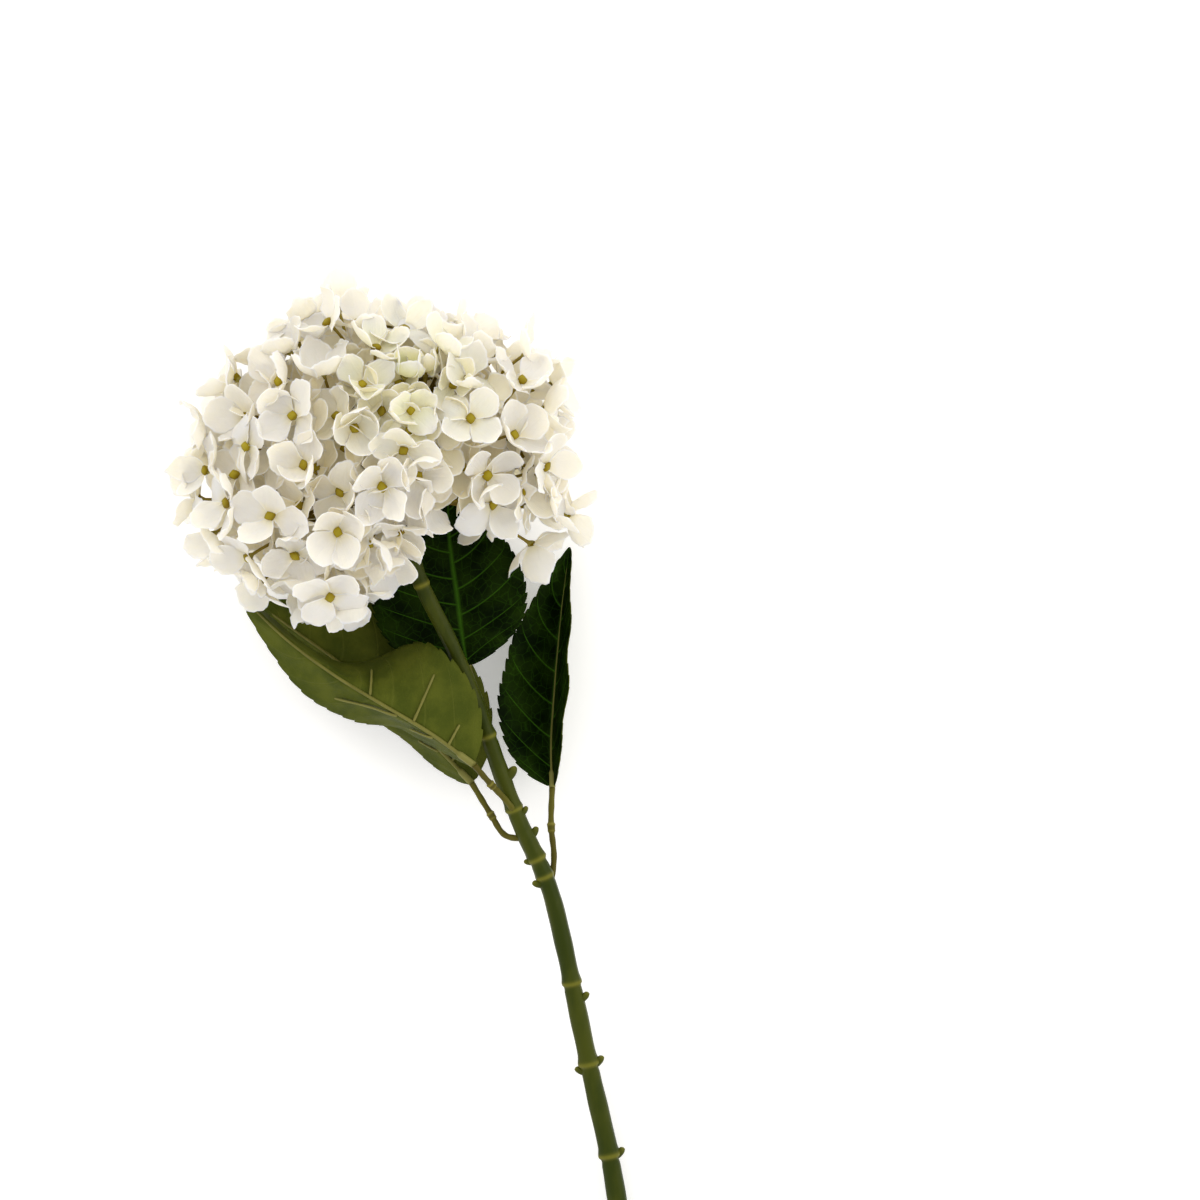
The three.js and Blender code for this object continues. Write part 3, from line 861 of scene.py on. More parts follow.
# ---------------------------------------------------------------- leaves
@dataclass
class Leaf:
    """A serrated cloth leaf with a moulded rib and stalk under it.

    Attributes:
        name: of the leaf.
        midrib: points along the middle of the blade.
        left_width: greatest half width on the left.
        right_width: greatest half width on the right.
        left_fold: degrees that the left half folds towards the upper face, at its foot and its tip.
        right_fold: the same for the right half.
        fold_change: shares of the blade between which its folds change.
        upper_face: 1 if the upper face looks up and -1 if it looks down.
        stalk: points along the stalk, before it meets the midrib.
        thickness: of the cloth.
        teeth: along each margin.
        tooth_depth: of the serration.
        pucker: how far the cloth swells between two side veins.
        vein_pairs: of side veins.
        vein_slant: share of the blade that a side vein gains on its way out.
        rows: of the blade's mesh, along it.
        strips: of each half's mesh, across it.
        side_ribs: for each, the share of the blade where it leaves the midrib, its side, the share
            of the blade that it gains and the share of the half width that it covers.
        socket_radius: of the ribs' socket round the stalk's end.
        petiole_radius: of the stalk.
        coarse_thickness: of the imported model's blade.
        gap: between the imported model's blade and its ribs.
    """

    name: str
    midrib: list[Point]
    left_width: float
    right_width: float
    left_fold: tuple[float, float]
    right_fold: tuple[float, float]
    upper_face: int
    stalk: list[Point]
    fold_change: tuple[float, float] = (0.25, 0.7)
    thickness: float = 0.45
    teeth: int = 19
    tooth_depth: float = 1.6
    pucker: float = 0.75
    vein_pairs: float = 7.5
    vein_slant: float = 0.2
    rows: int = 134
    strips: int = 15
    side_ribs: tuple[tuple[float, int, float, float], ...] = (
        (0.12, -1, 0.01, 0.42), (0.27, -1, 0.02, 0.68), (0.45, -1, 0.06, 0.46),
        (0.18, 1, 0.08, 0.35), (0.33, 1, 0.24, 0.52))
    socket_radius: float = 1.75
    petiole_radius: float = 1.55
    coarse_thickness: float = 0.8
    gap: float = 0.3

    def __post_init__(self) -> None:
        """Draws the midrib's curve."""
        self.curve = SmoothCurve(self.midrib)

    def axes(self, share: float) -> tuple[Array, Array, Array]:
        """Directions along the midrib, to the right, and out of the upper face.

        Args:
            share: of the midrib's length.

        Returns:
            The three unit directions.
        """
        along = self.curve.tangent(share)
        right = unit(np.cross(along, np.array([0.0, 0.0, float(self.upper_face)])))
        return along, right, np.cross(right, along)

    @staticmethod
    def half_width(share: float, greatest: float) -> float:
        """Half the blade's width at a share of its length.

        Args:
            share: of the blade's length.
            greatest: half width that the blade reaches.

        Returns:
            The half width in millimetres.
        """
        peak = 0.62 / 1.57
        top = peak**0.62 * (1 - peak) ** 0.95
        return greatest * max(share, 0.0) ** 0.62 * max(1 - share, 0.0) ** 0.95 / top

    def folds(self, share: float) -> tuple[float, float]:
        """How far the left and the right half fold at a share of the length, in radians.

        Args:
            share: of the blade's length.

        Returns:
            The left half's fold and the right half's.
        """
        start, end = self.fold_change
        at = min(max((share - start) / (end - start), 0.0), 1.0)
        at = at * at * (3 - 2 * at)
        return math.radians(lerp(*self.left_fold, at)), math.radians(lerp(*self.right_fold, at))

    def surface(
        self, share: float, across: Array, lift: Array | float, reach: Array | float = 1.0,
    ) -> Array:
        """Places on the blade.

        Args:
            share: of the blade's length.
            across: from -1 at the left margin to 1 at the right margin.
            lift: off the middle of the cloth, towards the upper face.
            reach: share of the half width that the margin covers.

        Returns:
            One place for each value of across.
        """
        _, right, upper = self.axes(share)
        across = np.atleast_1d(np.asarray(across, float))
        greatest = np.where(across < 0, self.left_width, self.right_width)
        fold = np.where(across < 0, *self.folds(share))
        out = np.abs(across) * reach * self.half_width(share, 1.0) * greatest
        side = np.sign(across)
        ease = 1.4 * (1 - np.exp(-out / 1.4))
        level = side * (out * np.cos(fold) + ease * (1 - np.cos(fold)) - lift * np.sin(fold))
        height = (out - ease) * np.sin(fold) + lift * np.cos(fold)
        return self.curve.point(share) + level[:, None] * right + height[:, None] * upper

    def quilting(self, share: float, across: Array) -> Array:
        """How far the cloth lifts between side veins and along its wavy margin.

        Args:
            share: of the blade's length.
            across: from -1 at the left margin to 1 at the right margin.

        Returns:
            One lift for each value of across, in millimetres.
        """
        out = np.abs(across)
        side = np.sign(across) * 0.2
        phase = (share - self.vein_slant * out**1.35) * self.vein_pairs + side
        swell = np.sin(np.abs(np.mod(phase, 1.0) - 0.5) * math.pi)
        body = np.sin(np.clip(out, 0, 1) * math.pi) ** 0.6
        wave = np.sin(share * 21 + side * 11) * out**3 * 0.9
        along = math.sin(math.pi * share)
        return self.pucker * swell * body * along**0.5 + wave * along

    def blade(self) -> Shell:
        """The serrated, quilted cloth.

        Returns:
            The cloth's shell.
        """
        across = np.linspace(-1, 1, 2 * self.strips + 1)
        across = np.sign(across) * np.abs(across) ** 0.9
        steps = np.diff([self.curve.point(share) for share in np.linspace(0, 1, 40)], axis=0)
        length = float(np.linalg.norm(steps, axis=1).sum())
        grid, cloth = [], []
        shares = np.linspace(0.004, 0.997, self.rows)
        for share in shares:
            point_of_tooth = (share * self.teeth) % 1.0
            width = self.half_width(share, max(self.left_width, self.right_width))
            notch = (1 - point_of_tooth) ** 1.8 + 0.25 * max(0.0, point_of_tooth - 0.9) / 0.1
            uneven = 0.7 + 0.6 * scatter(math.floor(share * self.teeth), self.left_width)
            cut = self.tooth_depth * notch * uneven * min(1.0, width / 9)
            rim = np.clip((np.abs(across) - 0.72) / 0.28, 0, 1) ** 2
            reach = 1 - rim * cut / max(width, 1.0)
            sweep = share + 0.012 * rim * point_of_tooth * math.sin(math.pi * share)
            lift = self.quilting(share, across)
            row = np.zeros((len(across), 3))
            for column, sway in enumerate(sweep):
                one = slice(column, column + 1)
                row[column] = self.surface(min(sway, 1.0), across[one], lift[one], reach[column])[0]
            grid.append(row)
            greatest = np.where(across < 0, self.left_width, self.right_width)
            flat = across * self.half_width(share, 1.0) * greatest
            cloth.append(np.stack([flat, np.full_like(flat, share * length), np.zeros_like(flat)], axis=1))
        grid, cloth = np.array(grid), np.array(cloth)
        values = {
            "leaf_along": np.repeat(shares[:, None], len(across), axis=1),
            "leaf_across": np.repeat(across[None, :], len(shares), axis=0),
            "cloth": cloth,
        }
        values = {name: value[:, ::-1] for name, value in values.items()}
        return thick_sheet(grid[:, ::-1], self.thickness, values, (0, 1))

    def under(self, share: float, across: float, depth: float) -> Array:
        """A place under the blade at a depth below the cloth."""
        lift = -(self.coarse_thickness / 2 + self.gap + depth)
        return self.surface(share, np.array([across]), lift)[0]

    def ribs(self) -> list[Shell]:
        """The raised midrib with its socket, and the short side ribs glued beside it.

        Returns:
            The midrib, and then one shell for each side rib.
        """
        stops = np.linspace(0, 1, 60)
        path = np.array([self.under(0.93 * stop, 0.0, 0.35 + 1.3 * (1 - stop) ** 6) for stop in stops])
        radii = 0.42 + 0.62 * (1 - stops) ** 0.8
        radii[stops < 0.07] = 1.75
        radii[-1] = 0.15
        shells = [tube(path, radii, 12, {"ridge": 0.25 + 0.5 * (stops < 0.08)})]
        line = np.linspace(0, 1, 26)
        for start, side, gain, reach in self.side_ribs:
            places = []
            for along in line:
                across = side * reach * (0.02 + 0.98 * along)
                places.append(self.under(start + gain * along, across, 0.25 - 0.2 * along))
            thin = 0.68 - 0.16 * line + 0.06 * np.sin(line * 17)
            thin[0], thin[-1] = 0.5, 0.3
            shells.append(tube(np.array(places), thin, 8, {"ridge": 0.35 + 0.3 * line}))
        return shells

    def petiole(self) -> Shell:
        """The stalk with its collar, from the stem to the blade.

        Returns:
            The stalk's shell.
        """
        along, _, upper = self.axes(0.0)
        end = self.curve.point(0.0) - upper * (self.coarse_thickness / 2 + self.gap + self.socket_radius)
        end = end + along * self.gap
        curve = SmoothCurve([*self.stalk, tuple(end)])
        shares = np.linspace(0, 1, 96)
        radii = self.petiole_radius * (1 + 0.32 * np.exp(-shares / 0.08) + 0.05 * np.sin(shares * 40))
        collar = 1 / (1 + np.exp(-(shares - 0.59) / 0.004)) - 1 / (1 + np.exp(-(shares - 0.67) / 0.004))
        lip = np.exp(-(((shares - 0.665) / 0.012) ** 2)) + 0.6 * np.exp(-(((shares - 0.6) / 0.01) ** 2))
        radii += collar * 0.42 + lip * 0.28
        path = np.array([curve.point(share) for share in shares])
        return tube(path, radii, 14, {"ridge": np.clip(lip * 0.9 + 0.15, 0, 1)})

    def build(self, place: Frame, finishes: Finishes) -> None:
        """Makes the blade, the ribs and the stalk as three pieces.

        Args:
            place: the frame that the flower stands in.
            finishes: what the pieces are dressed in.
        """
        cloths = [finishes.leaf_top, finishes.leaf_under]
        Piece(f"{self.name}_cloth", f"{self.name}_blade", "leaf_blades", cloths, [self.blade()]).make(place)
        Piece(f"{self.name}_ribs", f"{self.name}_rib", "leaf_ribs", [finishes.rib], self.ribs()).make(place)
        Piece(f"{self.name}_stalk", f"{self.name}_petiole", "leaf_stalks", [finishes.petiole],
              [self.petiole()]).make(place)

    def coarse_points(self) -> Array:
        """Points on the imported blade's own grid, for lining the plan up with it.

        Returns:
            One point in each row.
        """
        points = []
        for step in range(21):
            share = lerp(0.012, 0.985, step / 20)
            for across in (-1.0, -0.5, 0.0, 0.5, 1.0):
                greatest = self.left_width if across < 0 else self.right_width
                tooth = 1.6 / greatest if abs(across) > 0.99 and step % 2 else 0.0
                for lift in (-0.4, 0.4):
                    points.append(self.plain_point(share, across * (1 - tooth), lift))
        return np.array(points)

    def plain_point(self, share: float, across: float, lift: float) -> Array:
        """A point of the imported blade, which folds sharply at its midrib.

        Args:
            share: of the blade's length.
            across: from -1 at the left margin to 1 at the right margin.
            lift: off the middle of the cloth, towards the upper face.

        Returns:
            The point.
        """
        _, right, upper = self.axes(share)
        left, right_turn = self.folds(share)
        greatest, turn = (self.left_width, left) if across < 0 else (self.right_width, right_turn)
        turn = turn if across else 0.0
        out = abs(across) * self.half_width(share, greatest)
        side = float(np.sign(across))
        level = side * (out * math.cos(turn) - lift * math.sin(turn))
        height = out * math.sin(turn) + lift * math.cos(turn)
        return self.curve.point(share) + right * level + upper * height


def all_leaves() -> list[Leaf]:
    """The four leaves, from the front of the stem to its right.

    Returns:
        The leaves in that order.
    """
    return [
        Leaf(
            name="leaf_a",
            midrib=[(44, -155.5, 50), (22, -139, 59), (-2, -124.5, 61.5), (-26, -110, 58),
                    (-51, -92, 49), (-76, -69, 38)],
            left_width=40, right_width=31, left_fold=(4, 84), right_fold=(77, 45), upper_face=-1,
            stalk=[(66, -182.5, 32.5), (60, -174, 40), (52, -165, 46.5)],
        ),
        Leaf(
            name="leaf_b",
            midrib=[(42.5, -166, 25.5), (24, -147, 25), (2, -126, 23), (-22, -107, 20.5),
                    (-46, -90, 18), (-68, -74, 16)],
            left_width=44, right_width=22, left_fold=(7, 7), right_fold=(62, 50), upper_face=-1,
            stalk=[(70, -194, 30), (59, -192, 28.5), (51.5, -181, 27)],
        ),
        Leaf(
            name="leaf_c",
            midrib=[(40.5, -106, 33), (37.5, -90, 29), (35, -71, 26), (32, -51, 24),
                    (30, -31, 22.5), (31, -9, 21)],
            left_width=44, right_width=36, left_fold=(2, 2), right_fold=(7, 7), upper_face=1,
            stalk=[(50.5, -142, 38.5), (48, -130, 34.8), (44, -118, 33.5)],
        ),
        Leaf(
            name="leaf_d",
            midrib=[(83, -168, 17), (82.5, -146, 12.5), (84, -121, 9.5), (86, -96, 8.5),
                    (88.5, -71, 9.5), (92, -45, 13)],
            left_width=33, right_width=32, left_fold=(30, 36), right_fold=(80, 80), upper_face=1,
            stalk=[(82, -220, 26), (84, -204, 22.5), (82.5, -187, 20)],
        ),
    ]


# ---------------------------------------------------------------- head
FLAT_FROM = 0.76  # draws above this make a flat petal
ROLLED_BACK_FROM = 0.90  # and above this one that rolls back
RAGGED_EDGE = ((0.020, 7), (0.016, 13), (0.010, 23))  # depth and waves round a petal's margin
NESTED_KEYS = 1000  # where the nested florets' numbers start
NESTED_TURN = 2.1  # how far their spiral is turned from the outer one's, in radians


class PetalForm(Enum):
    """How a petal's cloth is pressed: its bend and its dish per millimetre, and its tilt in degrees."""

    SPOON = (0.042, 0.105, 0.0)
    FLAT = (0.012, 0.05, 18.0)
    ROLLED_BACK = (-0.045, -0.03, 18.0)


@dataclass
class Floret:
    """One four-petalled floret on its stalk.

    Attributes:
        number: its place in the whole head.
        place: the middle of its face.
        facing: the unit direction that it faces.
        calyx: where its stalk ends.
        spin: turn about its facing, in radians.
        young: 0 for a ripe floret and 1 for a green, closed one.
        deep: 0 for a floret of the outer layer and 1 for one nested far below it.
        length: of a petal.
        half_width: of a petal.
        steps: rows and columns of a petal's mesh.
        thickness: of the cloth.
        rest: least height of the cloth over the table.
    """

    number: int
    place: Array
    facing: Array
    calyx: Array
    spin: float
    young: float
    deep: float = 0.0
    length: float = 21.5
    half_width: float = 8.7
    steps: int = 17
    thickness: float = 0.24
    rest: float = 0.35

    def axes(self) -> tuple[Array, Array]:
        """Two directions in the floret's face, square to each other.

        Returns:
            The two unit directions.
        """
        reference = turned(np.cross(square_axis(self.facing), self.facing), self.facing, self.spin)
        across = unit(np.cross(reference, self.facing))
        return across, -np.cross(self.facing, across)

    def petal(self, index: int) -> Shell:
        """One petal.

        Args:
            index: 0 to 3 round the floret.

        Returns:
            The petal as a closed shell.
        """
        key = self.number * 7 + index
        across, third = self.axes()
        bearing = math.radians(45 + 90 * index + spread(key, 1, 8))
        ahead = across * math.sin(bearing) + third * math.cos(bearing)
        beside = turned(np.cross(self.facing, ahead), ahead, math.radians(spread(key, 18, 22)))
        facing = np.cross(ahead, beside)
        size = (1 - 0.25 * self.young) * (1 + spread(key, 2, 0.08))
        length, width = self.length * size, self.half_width * size * (1 + spread(key, 3, 0.09))
        bend, dish, opening = self.form(key).value
        tilt = math.radians(spread(key, 5, 24) - 1 + 30 * self.young) + math.radians(opening)
        bend = bend * (1 + spread(key, 6, 0.35)) + 0.02 * self.young
        share, out, side, radius, turn = self.cut_shape(key, length, width)
        slope = tilt + bend * out * (0.75 + 0.5 * share)
        reach = (np.sin(slope) - math.sin(tilt)) / (bend * (0.75 + 0.5 * share))
        rise = (math.cos(tilt) - np.cos(slope)) / (bend * (0.75 + 0.5 * share))
        bowl = dish * (1 + spread(key, 19, 0.3)) * np.clip((share - 0.10) / 0.35, 0, 1)
        lift = bowl * side**2 / 2 * (1 - 0.15 * np.abs(side) / width)
        wave = np.sin(turn * (3 + 2 * round(scatter(key, 13))) + 6.3 * scatter(key, 14)) * radius**5
        lift = lift + wave * (0.4 + 0.7 * scatter(key, 15)) + spread(key, 16, 0.12) * side * share
        lift = lift - 0.35 * np.exp(-((side / 1.1) ** 2)) * np.clip(share * 2, 0, 1) * (1 - share)
        level = reach - lift * np.sin(slope)
        height = rise + lift * np.cos(slope) + 0.16 * index - 1.6
        points = (self.place + level[..., None] * ahead + side[..., None] * beside
                  + height[..., None] * facing)
        points[..., 2] = np.maximum(points[..., 2], self.rest + 0.12 * index)
        cloth = np.stack([side, out, np.full_like(side, 3.7 * key)], axis=-1)
        values = {
            "petal_out": np.clip(share, 0, 1),
            "petal_across": side / width,
            "petal_rim": radius,
            "young": np.full_like(share, self.young),
            "deep": np.full_like(share, self.deep),
            "own": np.full_like(share, 2 * scatter(key, 17) - 1),
            "cloth": cloth,
        }
        return thick_sheet(points, self.thickness, values, (0, 0))

    @staticmethod
    def form(key: int) -> PetalForm:
        """How one petal is pressed.

        Args:
            key: the number that the petal's variations come from.

        Returns:
            The petal's form; most are spoons.
        """
        draw = scatter(key, 4)
        if draw > ROLLED_BACK_FROM:
            return PetalForm.ROLLED_BACK
        return PetalForm.FLAT if draw > FLAT_FROM else PetalForm.SPOON

    def cut_shape(self, key: int, length: float, width: float) -> tuple[Array, ...]:
        """A petal's flat cut shape, with a ragged margin and sometimes a small point.

        Args:
            key: the number that the petal's variations come from.
            length: of the petal.
            width: of the petal's broader half.

        Returns:
            Grids over the petal: the share of its length, the distances along it and to the side,
            the share of the way to its margin, and the bearing round its middle.
        """
        line = np.linspace(-1, 1, self.steps)
        line = np.sign(line) * np.abs(line) ** 0.85
        rows, columns = np.meshgrid(line, line, indexing="ij")
        disc_out = rows * np.sqrt(1 - columns**2 / 2)
        disc_side = columns * np.sqrt(1 - rows**2 / 2)
        radius = np.clip(np.hypot(disc_out, disc_side), 0, 1)
        turn = np.arctan2(disc_side, disc_out)
        ragged = 0.0
        for use, (depth, waves) in enumerate(RAGGED_EDGE):
            ragged = ragged + depth * np.sin(waves * turn + 6.3 * scatter(key, 7 + use))
        grow = 1 + ragged * radius**6
        share = np.clip((disc_out * grow + 1) / 2, 0.0, 1.02)
        broaden = np.clip(share / (0.5 + spread(key, 10, 0.12)), 0, 1)
        side = disc_side * grow * width * (0.42 + 0.58 * broaden**2 * (3 - 2 * broaden))
        tip = max(0.0, scatter(key, 11) - 0.45) ** 1.5 * 6.5
        out = share * length + tip * np.exp(-((side / 2.2) ** 2)) * share**6
        side = side * (1 + 0.05 * np.sin(3 * share + 6 * scatter(key, 12)))
        return share, out, side, radius, turn

    def pip(self) -> Shell:
        """The square-sided bud in the middle of the floret.

        Returns:
            The bud's shell.
        """
        across, third = self.axes()
        sides = 16
        heights = np.array([-1.2, -0.2, 0.7, 1.35, 1.8, 2.05, 2.15])
        widths = np.array([1.3, 2.4, 2.7, 2.45, 1.85, 1.0, 0.3]) * (1 - 0.2 * self.young)
        turns = np.arange(sides) * 2 * math.pi / sides
        square = (np.abs(np.cos(turns)) ** 1.2 + np.abs(np.sin(turns)) ** 1.2) ** (-1 / 1.2)
        square = square * np.where(np.abs(np.cos(turns)) > 0.7, 1.0 + 0.15 * np.abs(np.cos(turns)), 1.0)
        lean = across * spread(self.number, 21, 0.5) + third * spread(self.number, 22, 0.5)
        points = []
        for height, width in zip(heights, widths):
            middle = self.place + (self.facing + lean) * (height - 0.9)
            spread_out = width * square
            points.append(middle + spread_out[:, None] * (
                across[None, :] * np.cos(turns)[:, None] + third[None, :] * np.sin(turns)[:, None]))
        points = np.concatenate([*points, [points[0].mean(0)], [points[-1].mean(0)]])
        points[:, 2] = np.maximum(points[:, 2], self.rest)
        faces = [tuple(reversed(face)) for face in ring_faces(len(heights), sides)]
        ridge = np.repeat(np.clip((heights - 1.0) / 2.4, 0, 1), sides)
        return Shell(points, faces, [0] * len(faces), {"ridge": np.concatenate([ridge, [0, 0.6]])[:, None]})

    def stalk(self, fork: Array, start: Array) -> Shell:
        """The pedicel, which widens at the calyx.

        Args:
            fork: where it leaves the ray.
            start: the ray's unit direction there.

        Returns:
            The pedicel as a shell.
        """
        end = self.place - self.facing * 1.5
        gap = float(np.linalg.norm(end - fork))
        handles = [fork, fork + start * gap * 0.33, end - self.facing * gap * 0.30, end]
        shares = np.linspace(0, 1, 26)
        back = 1 - shares
        weights = [back**3, 3 * shares * back**2, 3 * shares**2 * back, shares**3]
        path = sum(weight[:, None] * handle for weight, handle in zip(weights, handles))
        left = back * gap
        radii = 0.78 + 0.55 * np.exp(-shares / 0.05) + 1.5 * np.exp(-((left / 1.7) ** 2))
        path[:, 2] = np.maximum(path[:, 2], self.rest + 0.9)
        return tube(path, radii, 8, {"ridge": np.clip(np.exp(-left / 2) * 0.8, 0, 1)})


@dataclass
class Cyme:
    """A cluster of florets that share one ray from the hub.

    Attributes:
        number: the cyme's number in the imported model, from 1.
        hub: the middle of the head's hub.
        direction: the ray's unit direction.
        florets: the florets in it.
        ray_share: share of the way to its florets where the ray ends.
        first_fork: share of the ray before the first pedicel leaves it.
        foot_reach: from the hub's middle to the ray's foot.
        ray_radius: at the foot.
    """

    number: int
    hub: Array
    direction: Array
    florets: list[Floret] = field(default_factory=list)
    ray_share: float = 0.56
    first_fork: float = 0.45
    foot_reach: float = 2.75
    ray_radius: float = 1.5

    def ray(self) -> tuple[Shell, list[Array]]:
        """The ray, and the places where its pedicels leave it.

        Returns:
            The ray, and the places.
        """
        least = min(float(np.linalg.norm(floret.calyx - self.hub)) for floret in self.florets)
        foot = self.hub + self.direction * self.foot_reach
        fork = self.hub + self.direction * self.ray_share * least
        count = len(self.florets)
        shares = [lerp(self.first_fork, 1.0, (index + 1) / count) for index in range(count)]
        forks = [foot + (fork - foot) * share for share in shares]
        along = np.linspace(0, 1, 40)
        path = foot + along[:, None] * (fork - foot)
        radii = self.ray_radius * (1 - 0.25 * along)
        ridge = np.full_like(along, 0.1)
        for share in shares:
            knob = np.exp(-(((along - share) / 0.035) ** 2))
            radii = radii + 0.5 * knob
            ridge = np.maximum(ridge, knob * 0.5)
        return tube(path, radii, 10, {"ridge": ridge}), forks

    def build(self, place: Frame, finishes: Finishes) -> None:
        """Makes the cyme's petals, pips and stalks as three pieces.

        Args:
            place: the frame that the flower stands in.
            finishes: what the pieces are dressed in.
        """
        node, name = f"cyme_{self.number:02d}", f"cyme_{self.number:02d}"
        petals = [floret.petal(index) for floret in self.florets for index in range(4)]
        pips = [floret.pip() for floret in self.florets]
        ray, forks = self.ray()
        stalks = [ray] + [floret.stalk(fork, self.direction) for floret, fork in zip(self.florets, forks)]
        Piece(f"{name}_petals", node, "petals", [finishes.petal], petals).make(place)
        Piece(f"{name}_pips", node, "flower_stalks", [finishes.pip], pips).make(place)
        Piece(f"{name}_stalks", node, "flower_stalks", [finishes.stalk], stalks).make(place)


@dataclass
class Head:
    """The mophead: where its florets sit and which cyme each belongs to.

    Attributes:
        spread: how far the head is opened, as a share of the rim.
        centre: of the head.
        rise: from the centre up to the topmost florets.
        drop: the same downwards, before the table flattens it.
        rim: bearing in degrees and reach from the centre.
        floret_count: places shared out over the whole head.
        cyme_count: clusters, before the open underside.
        lean: how far a floret may turn from facing outwards.
        recess: share of the reach that the deepest florets sit back.
        floret_rest: least height of a floret's middle.
        least_reach: from the hub to any floret.
        hub: the middle of the hub.
        hub_radius: of the hub.
        open_side: where the head is open round its stem.
        open_angle: degrees round that direction with no florets.
        leaf_clearance: from a floret's middle to a leaf.
        stalk_clearance: from a floret's stalk to a leaf.
        cup: from a floret's rim back to its middle.
        calyx_length: from there back to the stalk's end.
        youngest: where the unripe florets gather.
        young_reach: how far from there florets still look unripe.
        nested_count: places of the smaller florets that fill the head between the outer ones.
        nested_recess: least and greatest share of the reach that those sit back.
        strays: florets that hang clear of the others, low at the right.
    """

    spread: float = 1.04
    centre: Point = (0, 0, 64)
    rise: float = 58
    drop: float = 70
    rim: list[tuple[float, float]] = field(default_factory=lambda: [
        (0, 86), (30, 90), (60, 72), (90, 68), (112, 78), (135, 78), (160, 86), (188, 96),
        (208, 97), (225, 92), (248, 86), (265, 66), (285, 50), (310, 46), (328, 52), (342, 92)])
    floret_count: int = 110
    cyme_count: int = 28
    lean: float = 0.34
    recess: float = 0.13
    floret_rest: float = 2.5
    least_reach: float = 36
    hub: Point = (9, -24, 58)
    hub_radius: float = 5.5
    open_side: Point = (0.32, -0.86, -0.4)
    open_angle: float = 50
    leaf_clearance: float = 17
    stalk_clearance: float = 8
    cup: float = 2.2
    calyx_length: float = 2.6
    youngest: Point = (14, 34, 112)
    young_reach: float = 46
    nested_count: int = 190
    nested_recess: tuple[float, float] = (0.13, 0.36)
    strays: list[Point] = field(default_factory=lambda: [(93, -30, 47), (74, -45, 42)])

    def rim_reach(self, bearing: float) -> float:
        """How far the rim reaches from the centre at a bearing in radians.

        Args:
            bearing: round the head, in radians.

        Returns:
            The reach in millimetres.
        """
        degrees = math.degrees(bearing) % 360
        after = next((i for i, (at, _) in enumerate(self.rim) if at > degrees), len(self.rim))
        from_at, from_reach = self.rim[after - 1]
        to_at, to_reach = self.rim[after] if after < len(self.rim) else (360, self.rim[0][1])
        share = (degrees - from_at) / (to_at - from_at)
        return self.spread * lerp(from_reach, to_reach, (1 - math.cos(math.pi * share)) / 2)

    @staticmethod
    def spiral(index: int, count: int) -> tuple[float, float, float]:
        """Bearing, height and level reach of an even direction over a ball."""
        height = 1 - 2 * (index + 0.5) / count
        return index * GOLDEN_TURN, height, math.sqrt(1 - height * height)

    def spot(self, direction: tuple[float, float, float], recess: float) -> Array:
        """The place on the head for a direction, set back by a share of the reach.

        Args:
            direction: the bearing, the height and the level on the head.
            recess: share of the reach to set back by.

        Returns:
            The place.
        """
        bearing, height, level = direction
        reach = self.rim_reach(bearing) * level * (1 - recess)
        lift = (self.rise if height > 0 else self.drop) * height * (1 - recess)
        offset = np.array([math.cos(bearing) * reach, math.sin(bearing) * reach, lift])
        place = offset + np.array(self.centre)
        place[2] = max(place[2], self.floret_rest)
        return place

    def outward(self, direction: tuple[float, float, float], index: int) -> Array:
        """The direction that a floret faces.

        Args:
            direction: the bearing, the height and the level on the head.
            index: the number that its own variation comes from.

        Returns:
            The unit direction.
        """
        bearing, height, level = direction
        flat = level / self.rim_reach(bearing)
        lift = height / (self.rise if height > 0 else self.drop)
        facing = unit(np.array([math.cos(bearing) * flat, math.sin(bearing) * flat, lift]))
        facing = facing + np.array([self.lean * (2 * scatter(index, axis + 1) - 1) for axis in range(3)])
        return unit(facing)

    def from_hub(self, place: Array) -> Array:
        """The unit direction from the hub to a place."""
        return unit(place - np.array(self.hub))

    def in_open_side(self, place: Array) -> bool:
        """Whether a place lies in the open side round the stem."""
        turn = angle_between(self.from_hub(place), unit(np.array(self.open_side)))
        return turn < math.radians(self.open_angle)

    def florets(self, leaves: list[Leaf]) -> list[Floret]:
        """Every floret of the head, clear of the hub, the open side and the leaves.

        Args:
            leaves: the leaves to keep clear of.

        Returns:
            The florets in order.
        """
        shares = [0.04 * step for step in range(1, 25)]
        sheet = np.array([leaf.plain_point(share, across, 0.0) for leaf in leaves for share in shares
                          for across in np.arange(-1, 1.01, 0.25)])
        found = []
        for index in range(self.floret_count):
            direction = self.spiral(index, self.floret_count)
            place = self.spot(direction, self.recess * scatter(index, 0))
            if self.is_clear(place, sheet, self.leaf_clearance):
                found.append(self.floret(index, self.outward(direction, index), place, 0.0))
        for index, stray in enumerate(self.strays):
            place = np.array(stray, float)
            facing = unit(place - np.array(self.centre))
            found.append(self.floret(self.floret_count + index, facing, place, 0.0))
        for index in range(self.nested_count):
            bearing, height, level = self.spiral(index, self.nested_count)
            direction = (bearing + NESTED_TURN, height, level)
            key = NESTED_KEYS + index
            depth = scatter(key, 0)
            place = self.spot(direction, lerp(*self.nested_recess, depth))
            if self.is_clear(place, sheet, self.leaf_clearance):
                found.append(self.floret(key, self.outward(direction, key), place, lerp(0.25, 1.0, depth)))
        return found

